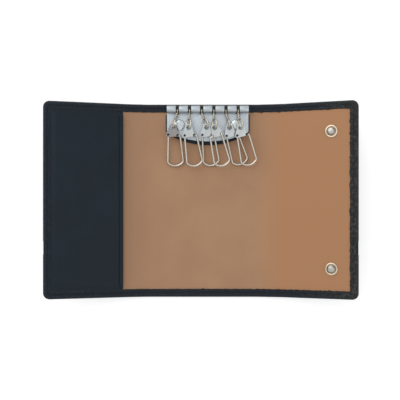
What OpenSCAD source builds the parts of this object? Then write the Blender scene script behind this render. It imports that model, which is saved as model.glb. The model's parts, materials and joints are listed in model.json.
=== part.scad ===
// Trifold leather key case with a row of six key hooks, lying open.
// Millimetres. +X runs to the right wing, +Y to the key plate, +Z up.
// The origin is the middle of the face that the case rests on.
// Every panel is drawn flat and then bent up at its fold lines.

/* [Case] */
// Height of the case, along the fold lines
case_h = 99.6; // [96:0.2:112]
// Width of the middle panel, between its two fold lines
middle_w = 56.0; // [55:0.1:60]
// Width of the left wing, from its fold line to its free edge
left_wing_w = 44.7; // [42:0.1:49]
// Width of the right wing, from its fold line to its free edge
right_wing_w = 39.2; // [37:0.1:47]
// Radius of the four outer corners
corner_r = 3.3; // [2.6:0.1:4.2]
// Angle that the left wing stands up at, in degrees
left_tilt = 17; // [0:1:40]
// Angle that the right wing stands up at, in degrees
right_tilt = 21; // [0:1:40]
// Gap between two panels at a fold line
fold_gap = 0.3; // [0.2:0.05:0.5]

/* [Leather layers] */
// Thickness of the outer leather
cover_t = 1.0; // [0.9:0.05:1.3]
// Thickness of the stiffening board
board_t = 0.7; // [0.6:0.05:1.0]
// Thickness of the tan lining
lining_t = 0.6; // [0.4:0.05:0.9]
// Thickness of the edge that is turned over the lining
hem_t = 0.4; // [0.3:0.05:0.6]
// Width of the turned edge at top, bottom and right
border_w = 4.2; // [3.8:0.1:5]
// Width of the turned edge at the left end
left_border_w = 3.6; // [3.2:0.1:5]
// Leather between the board and the outside of the edge
edge_wall = 1.3; // [1.2:0.05:1.5]
// Clearance around the board and the lining
layer_fit = 0.1; // [0.05:0.05:0.2]

/* [Outer band] */
// Width of the band across the outside
band_w = 6.8; // [5:0.1:9]
// Height of the band's middle above the bottom edge
band_rise = 25.9; // [20:0.1:32]
// Thickness of the band
band_t = 0.35; // [0.25:0.05:0.45]
// Depth of the band's face below the outer leather
band_sink = 0.15; // [0.1:0.05:0.25]

/* [Slip pocket] */
// Distance of the pocket's mouth from the left fold line
pocket_mouth = 4.4; // [4:0.1:10]
// Thickness of the pocket leather
pocket_t = 0.8; // [0.6:0.05:1.0]
// Room inside the empty pocket
pocket_gap = 0.4; // [0.3:0.05:0.6]
// Width of the glued margin on the pocket's three closed sides
pocket_margin = 2.4; // [2:0.1:4]
// Width of the folded hem at the mouth
pocket_hem_w = 2.0; // [1.6:0.1:3]
// How far the hem stands over the pocket
pocket_hem_t = 0.3; // [0.2:0.05:0.4]

/* [Key plate] */
// Width of the key plate
plate_w = 42; // [41:0.5:44]
// Thickness of its sheet metal
plate_t = 0.8; // [0.7:0.05:0.9]
// Distance from the rod to the plate's lowest point
plate_drop = 16.3; // [15.8:0.1:16.8]
// Height of the arc of the plate's lower edge
plate_sag = 4.6; // [3:0.1:5.5]
// Offset of the plate from the middle of the panel
plate_x = 2.64; // [2:0.05:3]
// Distance from the rod to the top edge of the case
rod_inset = 3.0; // [2.9:0.1:3.2]
// Diameter of the rod
rod_d = 2.1; // [2:0.05:2.2]
// Radial clearance of the rod in its knuckles
rod_play = 0.05; // [0.03:0.01:0.08]
// Gap between two knuckles, where a link hangs
knuckle_gap = 1.6; // [1.5:0.05:1.7]
// Open seam where a knuckle's curl ends above the plate
seam_gap = 0.3; // [0.2:0.05:0.4]
// Thickness of the leather patch behind the plate
backing_t = 0.9; // [0.9:0.05:1.1]
// How far the patch shows beside the plate
backing_margin = 0.6; // [0.4:0.1:1.2]
// How far the patch shows below the plate
backing_show = 1.8; // [1:0.1:2.4]

/* [Plate rivets] */
// Diameter of a rivet's head
rivet_d = 5.6; // [5:0.1:5.6]
// Height of a rivet's head
rivet_head_h = 0.75; // [0.6:0.05:0.8]
// Diameter of a rivet's stem
rivet_stem_d = 2.0; // [1.6:0.1:2.4]
// How far a rivet stands inside the line of the outermost link
rivet_inset = 1.0; // [0.8:0.05:1.2]
// Distance from the rod to the rivets
rivet_drop = 7.9; // [7.6:0.1:8.2]
// Diameter of the washer that a rivet is closed on
washer_d = 4.4; // [4:0.1:5]
// Thickness of the washer
washer_t = 0.35; // [0.3:0.05:0.4]
// Radial clearance of rivets and posts in their holes
rivet_play = 0.05; // [0.03:0.01:0.1]

/* [Hook links] */
// Diameter of the link wire
link_wire_d = 1.0; // [0.9:0.05:1.05]
// Distance from the rod to a hook's eye, seen from above
link_len = 9.7; // [9.6:0.05:9.9]
// Middle radius of the ring at a link's lower end
link_eye_r = 1.7; // [1.65:0.05:1.75]
// Radial clearance of a link's upper ring on the rod
link_play = 0.1; // [0.08:0.01:0.12]

/* [Hook plates] */
// Thickness of a hook plate
hook_t = 0.6; // [0.5:0.05:0.65]
// Diameter of the eye that the link's ring passes through
hook_eye_d = 2.6; // [2.5:0.05:2.8]
// Width of metal around the eye
hook_eye_rim = 0.6; // [0.5:0.05:0.6]
// Radius of the lug that carries the wire loop's pivot
lug_r = 1.15; // [1:0.05:1.2]
// Radius of the corner beside the catch
catch_corner_r = 1.0; // [0.9:0.05:1.1]
// Distance of the pivot below the eye
pivot_drop = 3.6; // [3.5:0.05:3.7]
// Height of the lower hooks' eyes above the key plate
hook_rise = 2.6; // [2.55:0.05:2.8]
// Height between a lower hook and one that lies over it
hook_lay_gap = 0.35; // [0.3:0.05:0.5]

/* [Wire loops] */
// Diameter of the loop wire
loop_wire_d = 1.0; // [0.9:0.05:1.05]
// Distance from a hook's eye to the middle of the loop's lowest wire
loop_len = 19.7; // [19:0.1:20.2]
// Width between the loop's two legs at the top
loop_top_w = 5.7; // [5.5:0.1:5.8]
// Distance of the legs' upper end below the eye
leg_drop = 5.0; // [4.8:0.1:5.2]
// Angle that each leg opens outward, in degrees
leg_spread = 5.3; // [4.8:0.1:5.4]
// Radius of the loop's two lower corners
loop_corner_r = 1.6; // [1.4:0.1:2]
// Radius of the loop's lower arc
loop_bottom_r = 5.0; // [4.8:0.1:5.4]
// Distance of the catch below the eye
catch_drop = 4.15; // [4.05:0.05:4.25]
// Distance of the catch to the side of the eye
catch_side = 2.15; // [2.1:0.05:2.2]
// Clearance between wire and hook plate
wire_play = 0.05; // [0.03:0.01:0.08]
// Height of the lowest loops over the lining
loop_rest_gap = 0.25; // [0.15:0.05:0.35]
// Extra height of the upper loops at their lower end
loop_step = 1.6; // [1.5:0.05:1.8]

/* [Snaps] */
// Distance of the snaps from the top and bottom edges
snap_drop = 15.2; // [13:0.1:18]
// Distance of the closed snaps from the middle of the case
snap_offset = 2.3; // [1:0.1:3]
// Diameter of a stud's base
stud_base_d = 6.5; // [6:0.1:6.8]
// Thickness of a stud's base
stud_base_t = 0.3; // [0.25:0.05:0.35]
// Thickness of the rolled rim on a stud's base
stud_rim_d = 0.44; // [0.4:0.02:0.46]
// Diameter of a stud's head
stud_head_d = 3.6; // [3.4:0.05:3.7]
// Diameter of a stud's neck
stud_neck_d = 3.0; // [2.8:0.05:3.1]
// Height of a stud over the lining
stud_h = 1.8; // [1.7:0.05:1.85]
// Outer diameter of a socket
socket_d = 6.2; // [5.8:0.1:6.6]
// Height of a socket over the outer leather
socket_h = 1.1; // [1.05:0.05:1.15]
// Radial clearance of a stud's head in its socket
snap_play = 0.2; // [0.15:0.01:0.25]
// Diameter of the flange on the hidden side of a snap
snap_flange_d = 7.0; // [6.6:0.1:7.4]
// Thickness of that flange
snap_flange_t = 0.3; // [0.25:0.05:0.35]
// Room between the two wings at the snaps, with the case shut
snap_room = 1.3; // [1.25:0.05:1.4]
// Room over the hooks, with the case shut
shut_room = 0.3; // [0.2:0.05:0.6]

/* [Hidden] */
$fn = 48;
overrun = 1;

// Hooks counted from the left
hook_count = 6;
// Sideways lean of each link, in degrees
link_leans = [-13.4, -2.6, 15, 2.6, 10.2, 7.1];
// Sideways lean of each hook, in degrees
hook_leans = [4, 10, 8, 12, 18.5, 14.5];
// Twist of each link's lower ring against its upper one, in degrees
link_twists = [12, 28, 28, 28, 8, 8];
// Thickness of a link's shank against its rings
link_shank_share = 0.9;
// How high a hook lies over its left neighbour, in layers; 0 where it lies lowest
hook_layers = [0, 1, 0, 1, 0, 1.8];
// 1 where the hook is turned over, so that its pivot is on the right
hook_turns = [0, 0, 0, 1, 0, 0];

// Heights of the layers in a flat panel
lining_z = cover_t + board_t;
lining_top = lining_z + lining_t;
panel_t = lining_top + hem_t;
edge_r = panel_t / 2;
pocket_top = lining_top + pocket_gap + pocket_t;

// The key plate and its rod
top_y = case_h / 2;
rod_y = top_y - rod_inset;
plate_bottom = lining_top + backing_t;
plate_top = plate_bottom + plate_t;
knuckle_bore_r = rod_d / 2 + rod_play;
knuckle_r = knuckle_bore_r + plate_t;
rod_z = plate_bottom + knuckle_r;
knuckle_count = hook_count + 1;
knuckle_w = (plate_w - hook_count * knuckle_gap) / knuckle_count;
link_pitch = knuckle_w + knuckle_gap;
link_row_w = (hook_count - 1) * link_pitch;
link_ring_r = rod_d / 2 + link_play + link_wire_d / 2;
slot_drop = link_ring_r + link_wire_d / 2 + seam_gap;

// The hooks
hook_step = hook_t + hook_lay_gap;
wire_offset = hook_t / 2 + wire_play + loop_wire_d / 2;
hook_eye_r = hook_eye_d / 2;
low_eye_z = plate_top + hook_rise;
rest_z = lining_top + loop_wire_d / 2 + loop_rest_gap;
hook_top = low_eye_z + max(hook_layers) * hook_step + link_eye_r;
pivot_side = loop_top_w / 2 - (leg_drop - pivot_drop) * tan(leg_spread);
pin_play = wire_play;
tab_lap = 0.3;
pin_bend_r = loop_wire_d / 2 + wire_play;
bend_swell = 0.02;
bend_lap = 0.1;

// The fold strips are as wide as what they close over
left_strip_w = hook_top - panel_t + (pocket_top + pocket_hem_t - panel_t) + shut_room;
right_strip_w = left_strip_w + panel_t + snap_room;
half_middle = middle_w / 2;
left_fold = half_middle + left_strip_w;
right_fold = half_middle + right_strip_w;
stud_reach = half_middle - snap_offset;
socket_reach = half_middle + snap_offset;

band_y = band_rise - top_y;
band_depth = band_t + band_sink;

// Bends what lies flat about a fold line on the panels' upper face
module bend(fold_x, angle) {
    translate([fold_x, 0, panel_t]) rotate([0, angle, 0])
        translate([-fold_x, 0, -panel_t]) children();
}
module on_left_strip() bend(-half_middle, left_tilt / 2) children();
module on_left_wing() on_left_strip() bend(-left_fold, left_tilt / 2) children();
module on_right_strip() bend(half_middle, -right_tilt / 2) children();
module on_right_wing() on_right_strip() bend(right_fold, -right_tilt / 2) children();

// A wing is drawn from its fold line at zero towards +X
module left_wing_place() on_left_wing() translate([-left_fold, 0, 0]) mirror([1, 0, 0]) children();
module right_wing_place() on_right_wing() translate([right_fold, 0, 0]) children();

// Strip of full height between two lines, with both its ends rounded like turned leather
module strip_slab(x0, x1) {
    translate([x0, edge_r - top_y, 0]) cube([x1 - x0, case_h - panel_t, panel_t]);
    for (s = [-1, 1])
        translate([x0, s * (top_y - edge_r), edge_r]) rotate([0, 90, 0])
            cylinder(r = edge_r, h = x1 - x0);
}

// Outline of a wing whose free end has round corners
module wing_outline(w, half_h, r) {
    translate([fold_gap / 2, r - half_h]) square([w - fold_gap / 2, 2 * (half_h - r)]);
    translate([fold_gap / 2, -half_h]) square([w - r - fold_gap / 2, 2 * half_h]);
    for (s = [-1, 1]) translate([w - r, s * (half_h - r)]) circle(r = r);
}

// Wing of full thickness with three edges rounded like turned leather
module wing_slab(w) {
    linear_extrude(panel_t) wing_outline(w - edge_r, top_y - edge_r, corner_r - edge_r);
    for (s = [-1, 1]) {
        translate([fold_gap / 2, s * (top_y - edge_r), edge_r]) rotate([0, 90, 0])
            cylinder(r = edge_r, h = w - corner_r - fold_gap / 2);
        translate([w - corner_r, s * (top_y - corner_r), edge_r]) rotate([0, 0, s > 0 ? 0 : -90])
            rotate_extrude(angle = 90) translate([corner_r - edge_r, 0]) circle(r = edge_r);
    }
    translate([w - edge_r, corner_r - top_y, edge_r]) rotate([-90, 0, 0])
        cylinder(r = edge_r, h = case_h - 2 * corner_r);
}

// Channel in which the outer band lies
module band_channel(x0, x1) {
    translate([x0, band_y - band_w / 2, -overrun])
        cube([x1 - x0, band_w, band_depth + overrun]);
}

// Outer leather of a strip: a floor, two walls and the edges turned over the lining
module strip_cover(x0, x1, floor_t) {
    difference() {
        strip_slab(x0, x1);
        translate([x0 - overrun, edge_wall - top_y, floor_t])
            cube([x1 - x0 + 2 * overrun, case_h - 2 * edge_wall, lining_top - floor_t]);
        translate([x0 - overrun, border_w - top_y, floor_t])
            cube([x1 - x0 + 2 * overrun, case_h - 2 * border_w, panel_t]);
        band_channel(x0 - overrun, x1 + overrun);
    }
}

module wing_cover(w, end_border) {
    difference() {
        wing_slab(w);
        translate([0, 0, cover_t]) linear_extrude(lining_top - cover_t)
            wing_outline(w - edge_wall, top_y - edge_wall, corner_r - edge_wall);
        translate([0, border_w - top_y, cover_t])
            cube([w - end_border, case_h - 2 * border_w, panel_t]);
        band_channel(0, w + overrun);
        translate([w - band_depth, band_y - band_w / 2, -overrun])
            cube([overrun, band_w, panel_t + 2 * overrun]);
    }
}

// Band with its end turned up over the free edge
module wing_band(w) {
    translate([fold_gap / 2, band_y - band_w / 2, band_sink])
        cube([w - fold_gap / 2 - band_sink, band_w, band_t]);
    translate([w - band_depth, band_y - band_w / 2, band_sink])
        cube([band_t, band_w, panel_t - 2 * band_sink]);
}
module strip_band(x0, x1) {
    translate([x0, band_y - band_w / 2, band_sink]) cube([x1 - x0, band_w, band_t]);
}

// Flat layer that lies inside the cover of a strip
module strip_layer(x0, x1, z0, t) {
    inset = edge_wall + layer_fit;
    translate([x0, inset - top_y, z0]) cube([x1 - x0, case_h - 2 * inset, t]);
}
module wing_layer(w, z0, t) {
    inset = edge_wall + layer_fit;
    translate([0, 0, z0]) linear_extrude(t)
        wing_outline(w - inset, top_y - inset, corner_r - inset / 2);
}

// Shafts of the two rivets, for the rivets themselves and for their holes
module rivet_places() {
    for (s = [-1, 1])
        translate([plate_x + s * (link_row_w / 2 - rivet_inset), rod_y - rivet_drop, 0]) children();
}
module rivet_holes() {
    rivet_places() translate([0, 0, cover_t - washer_t - overrun])
        cylinder(d = rivet_stem_d + 2 * rivet_play, h = plate_top + 2 * overrun);
}
module snap_places(reach) {
    for (s = [-1, 1]) translate([reach, s * (top_y - snap_drop), 0]) children();
}

// The three main panels and the two fold strips
middle_x0 = fold_gap / 2 - half_middle;
middle_x1 = half_middle - fold_gap / 2;
left_x0 = fold_gap / 2 - left_fold;
left_x1 = -half_middle - fold_gap / 2;
right_x0 = half_middle + fold_gap / 2;
right_x1 = right_fold - fold_gap / 2;

module middle_cover() {
    color("#2c2f31") difference() {
        strip_cover(middle_x0, middle_x1, cover_t);
        rivet_places() translate([0, 0, cover_t - washer_t - layer_fit])
            cylinder(d = washer_d + 2 * layer_fit, h = overrun);
    }
}
module left_strip_cover() color("#2c2f31") on_left_strip() strip_cover(left_x0, left_x1, lining_z);
module right_strip_cover() color("#2c2f31") on_right_strip() strip_cover(right_x0, right_x1, lining_z);
module left_wing_cover() {
    color("#2c2f31") left_wing_place() difference() {
        wing_cover(left_wing_w, left_border_w);
        snap_places(socket_reach) translate([0, 0, -overrun])
            cylinder(r = socket_body_r + rivet_play, h = cover_t + 2 * overrun);
    }
}
module right_wing_cover() {
    color("#2c2f31") right_wing_place() difference() {
        wing_cover(right_wing_w, border_w);
        snap_places(stud_reach) translate([0, 0, cover_t - snap_flange_t])
            cylinder(d = snap_flange_d + 2 * layer_fit, h = overrun);
    }
}

module middle_lining() {
    color("#a98465") difference() {
        strip_layer(middle_x0, middle_x1, lining_z, lining_t);
        rivet_holes();
    }
}
module left_strip_lining() {
    color("#a98465") on_left_strip() strip_layer(left_x0, left_x1, lining_z, lining_t);
}
module right_strip_lining() {
    color("#a98465") on_right_strip() strip_layer(right_x0, right_x1, lining_z, lining_t);
}
module left_wing_lining() {
    color("#a98465") left_wing_place() wing_layer(left_wing_w, lining_z, lining_t);
}
module right_wing_lining() {
    color("#a98465") right_wing_place() difference() {
        wing_layer(right_wing_w, lining_z, lining_t);
        snap_places(stud_reach) cylinder(r = stud_post_r + rivet_play, h = panel_t + overrun);
    }
}

module middle_board() {
    color("#8d8878") difference() {
        strip_layer(middle_x0, middle_x1, cover_t, board_t);
        rivet_holes();
    }
}
module left_wing_board() {
    color("#8d8878") left_wing_place() difference() {
        wing_layer(left_wing_w, cover_t, board_t);
        snap_places(socket_reach) cylinder(d = snap_flange_d + 2 * layer_fit, h = panel_t + overrun);
    }
}
module right_wing_board() {
    color("#8d8878") right_wing_place() difference() {
        wing_layer(right_wing_w, cover_t, board_t);
        snap_places(stud_reach) cylinder(r = stud_post_r + rivet_play, h = panel_t + overrun);
    }
}

module middle_band() color("#232628") strip_band(middle_x0, middle_x1);
module left_strip_band() color("#232628") on_left_strip() strip_band(left_x0, left_x1);
module right_strip_band() color("#232628") on_right_strip() strip_band(right_x0, right_x1);
module left_wing_band() color("#232628") left_wing_place() wing_band(left_wing_w);
module right_wing_band() color("#232628") right_wing_place() wing_band(right_wing_w);

// Smooth leather panel glued on three sides, with a folded hem at its open side
module pocket_panel() {
    x0 = pocket_mouth;
    x1 = left_wing_w - left_border_w;
    half_h = top_y - border_w;
    color("#2f3539") left_wing_place() difference() {
        union() {
            translate([x0, -half_h, lining_top]) cube([x1 - x0, 2 * half_h, pocket_top - lining_top]);
            translate([x0 + pocket_hem_t, -half_h, pocket_top])
                cube([pocket_hem_w - pocket_hem_t, 2 * half_h, pocket_hem_t]);
            translate([x0 + pocket_hem_t, -half_h, pocket_top]) rotate([-90, 0, 0])
                cylinder(r = pocket_hem_t, h = 2 * half_h);
        }
        translate([x0 - overrun, pocket_margin - half_h, lining_top - overrun])
            cube([x1 - x0 - pocket_margin + overrun, 2 * (half_h - pocket_margin),
                  pocket_gap + overrun]);
    }
}

// Radius of a circle whose arc has this chord and height
function arc_r(chord, sag) = (chord * chord / 4 + sag * sag) / (2 * sag);

// Straight sides, a straight top and a shallow arc below, drawn from the rod downward
module arced_outline(w, top_drop, bottom_drop, sag) {
    intersection() {
        translate([-w / 2, -bottom_drop]) square([w, bottom_drop - top_drop]);
        translate([0, arc_r(w, sag) - bottom_drop]) circle(r = arc_r(w, sag), $fn = 180);
    }
}

module plate_backing() {
    color("#1e2022") difference() {
        translate([plate_x, rod_y, lining_top]) linear_extrude(backing_t)
            arced_outline(plate_w + 2 * backing_margin, slot_drop,
                          plate_drop + backing_show, plate_sag + backing_show);
        rivet_holes();
    }
}

// Side view of one knuckle: the sheet runs in from -Y and curls up around the rod
module knuckle_profile() {
    difference() {
        union() {
            translate([-slot_drop - tab_lap, plate_bottom]) square([slot_drop + tab_lap, plate_t]);
            intersection() {
                translate([0, rod_z]) circle(r = knuckle_r);
                translate([-knuckle_r, plate_top]) square([knuckle_r, 2 * knuckle_r]);
            }
            intersection() {
                translate([0, rod_z]) circle(r = knuckle_r);
                translate([0, plate_bottom]) square([knuckle_r, 2 * knuckle_r]);
            }
        }
        translate([0, rod_z]) circle(r = knuckle_bore_r);
        translate([-knuckle_r - overrun, plate_top])
            square([knuckle_r - rod_d / 4 + overrun, seam_gap]);
    }
}

// Sheet plate with its row of knuckles
module key_plate() {
    color("#b9bcc2") difference() {
        union() {
            translate([plate_x, rod_y, plate_bottom]) linear_extrude(plate_t)
                arced_outline(plate_w, slot_drop, plate_drop, plate_sag);
            for (i = [0:hook_count])
                translate([plate_x - plate_w / 2 + i * link_pitch, rod_y, 0]) rotate([90, 0, 90])
                    linear_extrude(knuckle_w) knuckle_profile();
        }
        rivet_holes();
    }
}

module key_rod() {
    color("#a9abb0") translate([plate_x - plate_w / 2, rod_y, rod_z]) rotate([0, 90, 0]) {
        translate([0, 0, rod_play]) cylinder(d = rod_d, h = plate_w - 2 * rod_play);
        cylinder(d1 = rod_d - 2 * rod_play, d2 = rod_d, h = rod_play);
        translate([0, 0, plate_w - rod_play]) cylinder(d1 = rod_d, d2 = rod_d - 2 * rod_play, h = rod_play);
    }
}

// Low dome: a slice of a ball on a short straight edge
module dome(d, h, edge_h) {
    ball_r = arc_r(d, h - edge_h);
    rotate_extrude() intersection() {
        translate([0, h - ball_r]) circle(r = ball_r, $fn = 120);
        square([d / 2, h]);
    }
}

module plate_rivets() {
    color("#c3ccd1") rivet_places() {
        translate([0, 0, plate_top]) dome(rivet_d, rivet_head_h, rivet_head_h / 4);
        translate([0, 0, cover_t - washer_t])
            cylinder(d = rivet_stem_d, h = plate_top - cover_t + washer_t);
    }
}
module rivet_washers() {
    color("#9a9da1") rivet_places() translate([0, 0, cover_t - washer_t]) difference() {
        cylinder(d = washer_d, h = washer_t);
        translate([0, 0, -overrun]) cylinder(d = rivet_stem_d + 2 * rivet_play, h = washer_t + 2 * overrun);
    }
}

// Snap studs stand on the lining of the right wing, their posts pass through it
stud_post_r = stud_neck_d / 2;
socket_bore_r = stud_head_d / 2 + snap_play;
socket_body_r = (socket_d / 2 + socket_bore_r) / 2;
stud_seat = lining_top;

module snap_stud() {
    base_r = (stud_base_d - stud_rim_d) / 2;
    ball_r = arc_r(stud_head_d, stud_h / 4);
    rotate_extrude() {
        square([base_r, stud_base_t]);
        translate([base_r, stud_rim_d / 2]) circle(d = stud_rim_d);
        square([stud_neck_d / 2, stud_h / 2]);
        translate([0, stud_h / 2]) square([stud_head_d / 2, stud_h / 4]);
        intersection() {
            translate([0, stud_h - ball_r]) circle(r = ball_r, $fn = 120);
            translate([0, stud_h / 2]) square([stud_head_d / 2, stud_h / 2]);
        }
    }
}
module snap_studs() {
    color("#cdb98f") right_wing_place() snap_places(stud_reach) translate([0, 0, stud_seat]) snap_stud();
}
module stud_posts() {
    color("#9a9da1") right_wing_place() snap_places(stud_reach) {
        translate([0, 0, cover_t - snap_flange_t]) cylinder(d = snap_flange_d, h = snap_flange_t);
        translate([0, 0, cover_t]) cylinder(r = stud_post_r, h = lining_top - cover_t);
    }
}

// Sockets stand on the outside of the left wing, where the studs meet them
module snap_sockets() {
    body_r = (socket_d - stud_rim_d) / 2;
    color("#cdb98f") left_wing_place() snap_places(socket_reach) rotate_extrude() difference() {
        union() {
            translate([0, -socket_h]) square([body_r, socket_h]);
            translate([body_r, stud_rim_d - socket_h]) circle(d = stud_rim_d);
            square([socket_body_r, cover_t]);
        }
        translate([0, -socket_h - overrun])
            square([socket_bore_r, socket_h + cover_t + overrun - snap_flange_t / 2]);
    }
}
module socket_posts() {
    color("#9a9da1") left_wing_place() snap_places(socket_reach)
        translate([0, 0, cover_t]) cylinder(d = snap_flange_d, h = snap_flange_t);
}

// Where the hooks hang
function link_x(i) = plate_x + (i - (hook_count + 1) / 2) * link_pitch;
function eye_z(i) = low_eye_z + hook_layers[i - 1] * hook_step;
function rod_point(i) = [link_x(i), rod_y, rod_z];
function eye_point(i) = [link_x(i) + link_len * sin(link_leans[i - 1]),
                         rod_y - link_len * cos(link_leans[i - 1]), eye_z(i)];
function loop_z(i) = hook_layers[i - 1] == 0 ? rest_z : rest_z + loop_step;
function hook_slope(i) = asin((eye_z(i) - wire_offset - loop_z(i)) / loop_len);
function unit(v) = v / norm(v);

module bar(p, q, d) {
    v = q - p;
    translate(p) rotate([0, acos(v[2] / norm(v)), atan2(v[1], v[0])]) cylinder(d = d, h = norm(v));
}
module ring(r, d) rotate_extrude() translate([r, 0]) circle(d = d);

// Twisted wire link: a ring round the rod, a shank and a ring through the hook's eye
module link(i) {
    rod_p = rod_point(i);
    eye_p = eye_point(i);
    up = unit(rod_p - eye_p);
    front = unit([0, eye_p[1] - rod_p[1], eye_p[2] - rod_p[2]]);
    color("#c7b98f") {
        translate(rod_p) rotate([0, 90, 0]) ring(link_ring_r, link_wire_d);
        bar(rod_p + link_ring_r * front, eye_p + 2 * link_eye_r * up, link_shank_share * link_wire_d);
        translate(eye_p + link_eye_r * up) rotate([asin(up[2]), 0, link_leans[i - 1]])
            rotate([0, 90 + link_twists[i - 1], 0]) ring(link_eye_r, link_wire_d);
    }
}

// Puts what is drawn around an eye, hanging towards -Y, into its place on the case
module hook_place(i) {
    translate(eye_point(i)) rotate([hook_slope(i), 0, hook_leans[i - 1]])
        rotate([0, hook_turns[i - 1] * 180, 0]) children();
}

// Tapered web between two round bosses of different size
module web(p, p_r, q, q_r) {
    d = norm(q - p);
    a = atan2(q[1] - p[1], q[0] - p[0]);
    b = acos((p_r - q_r) / d);
    polygon([p + p_r * [cos(a + b), sin(a + b)], p + p_r * [cos(a - b), sin(a - b)],
             q + q_r * [cos(a - b), sin(a - b)], q + q_r * [cos(a + b), sin(a + b)]]);
    translate(p) circle(r = p_r);
    translate(q) circle(r = q_r);
}

module hook_plate(i) {
    eye = [0, 0];
    pivot = [-pivot_side, -pivot_drop];
    catch = [catch_side, -catch_drop];
    corner = [catch_side - 0.8 * catch_corner_r, -catch_drop + 0.4 * catch_corner_r];
    hole_r = loop_wire_d / 2 + pin_play;
    bay_r = hole_r + 2 * pin_play;
    eye_r = hook_eye_r + hook_eye_rim;
    color("#bdbcb8") hook_place(i) translate([0, 0, -hook_t / 2]) linear_extrude(hook_t) difference() {
        union() {
            web(eye, eye_r, pivot, lug_r);
            web(pivot, lug_r, corner, catch_corner_r);
            web(eye, eye_r, corner, catch_corner_r);
            polygon([eye, pivot, corner]);
        }
        translate(eye) circle(r = hook_eye_r);
        translate(pivot) circle(r = hole_r);
        translate(catch) circle(r = bay_r);
        translate(catch - [bay_r, 2 * lug_r]) square([2 * lug_r, 2 * lug_r]);
    }
}

// The loop's outline: straight legs, two corner arcs and a flatter arc below
leg_dir = [-sin(leg_spread), -cos(leg_spread)];
leg_in = [cos(leg_spread), -sin(leg_spread)];
leg_top = [-loop_top_w / 2, -leg_drop];
bottom_c = [0, loop_bottom_r - loop_len];
leg_q = leg_top + loop_corner_r * leg_in - bottom_c;
leg_run = -leg_q * leg_dir + sqrt(pow(leg_q * leg_dir, 2) - leg_q * leg_q
                                  + pow(loop_bottom_r - loop_corner_r, 2));
leg_end = leg_top + leg_run * leg_dir;
corner_c = leg_end + loop_corner_r * leg_in;
corner_a = atan2(corner_c[1] - bottom_c[1], corner_c[0] - bottom_c[0]) + 360;

// Arc of wire; the bent parts are a trace thicker than the straight ones that run into them
module wire_arc(centre, r, a0, a1, swell) {
    translate([centre[0], centre[1], 0]) rotate([0, 0, a0]) rotate_extrude(angle = a1 - a0)
        translate([r, 0]) circle(d = loop_wire_d + swell);
}

// Wire end that comes along a leg from the point given and turns up into the hook plate
module turned_end(from, to) {
    turn = atan2(from[1] - to[1], from[0] - to[0]);
    bar([from[0], from[1], 0], to + (pin_bend_r - bend_lap) * unit(from - to), loop_wire_d);
    translate([to[0], to[1], 0]) rotate([90, 0, turn]) translate([pin_bend_r, pin_bend_r, 0])
        rotate([0, 0, 180]) rotate_extrude(angle = 90) translate([pin_bend_r, 0])
            circle(d = loop_wire_d + bend_swell);
    translate([to[0], to[1], pin_bend_r - bend_lap])
        cylinder(d = loop_wire_d, h = wire_offset - pin_bend_r + bend_lap);
}

// Spring wire loop: one end turns in the pivot hole, the other snaps into the catch
module wire_loop(i) {
    pivot = [-pivot_side, -pivot_drop, 0];
    catch = [catch_side, -catch_drop, 0];
    left_end = [leg_end[0], leg_end[1], 0] + bend_lap * [leg_dir[0], leg_dir[1], 0];
    right_end = [-left_end[0], left_end[1], 0];
    right_top = [-leg_top[0], leg_top[1], 0];
    lap_a = bend_lap / loop_bottom_r * 180 / PI;
    color("#cfc6b0") hook_place(i) translate([0, 0, -wire_offset]) {
        turned_end(left_end, pivot);
        wire_arc(corner_c, loop_corner_r, 180 - leg_spread, corner_a, bend_swell);
        wire_arc(bottom_c, loop_bottom_r, corner_a - lap_a, 540 - corner_a + lap_a, 0);
        wire_arc([-corner_c[0], corner_c[1]], loop_corner_r, 540 - corner_a, 360 + leg_spread, bend_swell);
        bar(right_end, right_top, loop_wire_d);
        translate(right_top) sphere(d = loop_wire_d + bend_swell);
        turned_end(right_top, catch);
    }
}

middle_cover();
left_strip_cover();
left_wing_cover();
right_strip_cover();
right_wing_cover();
middle_lining();
left_strip_lining();
left_wing_lining();
right_strip_lining();
right_wing_lining();
middle_board();
left_wing_board();
right_wing_board();
pocket_panel();
middle_band();
left_strip_band();
left_wing_band();
right_strip_band();
right_wing_band();
plate_backing();
key_plate();
key_rod();
plate_rivets();
rivet_washers();
snap_studs();
stud_posts();
snap_sockets();
socket_posts();
for (i = [1:hook_count]) {
    link(i);
    hook_plate(i);
    wire_loop(i);
}
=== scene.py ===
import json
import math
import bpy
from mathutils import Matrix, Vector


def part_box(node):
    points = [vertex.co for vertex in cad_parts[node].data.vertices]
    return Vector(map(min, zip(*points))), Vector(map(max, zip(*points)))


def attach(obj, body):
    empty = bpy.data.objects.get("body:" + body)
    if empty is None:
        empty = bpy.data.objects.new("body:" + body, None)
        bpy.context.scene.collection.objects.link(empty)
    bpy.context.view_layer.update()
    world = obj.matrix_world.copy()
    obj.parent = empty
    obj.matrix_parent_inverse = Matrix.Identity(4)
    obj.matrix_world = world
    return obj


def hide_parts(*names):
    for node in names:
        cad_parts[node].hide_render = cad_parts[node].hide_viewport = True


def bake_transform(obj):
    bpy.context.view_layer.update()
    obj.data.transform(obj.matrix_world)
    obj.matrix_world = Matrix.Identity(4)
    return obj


bl_info = {
    "name": "Trifold key case",
    "version": (1, 0, 0),
    "blender": (4, 5, 0),
    "location": "View3D > Sidebar > Key case",
    "description": "Builds a leather key case with a row of key hooks around its packed frame",
    "category": "Object",
}

from types import SimpleNamespace

import bmesh
import bpy
import numpy as np
from bpy.props import FloatProperty, FloatVectorProperty, PointerProperty
from bpy.types import Operator, Panel, PropertyGroup
from mathutils import Vector, geometry, noise

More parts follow.
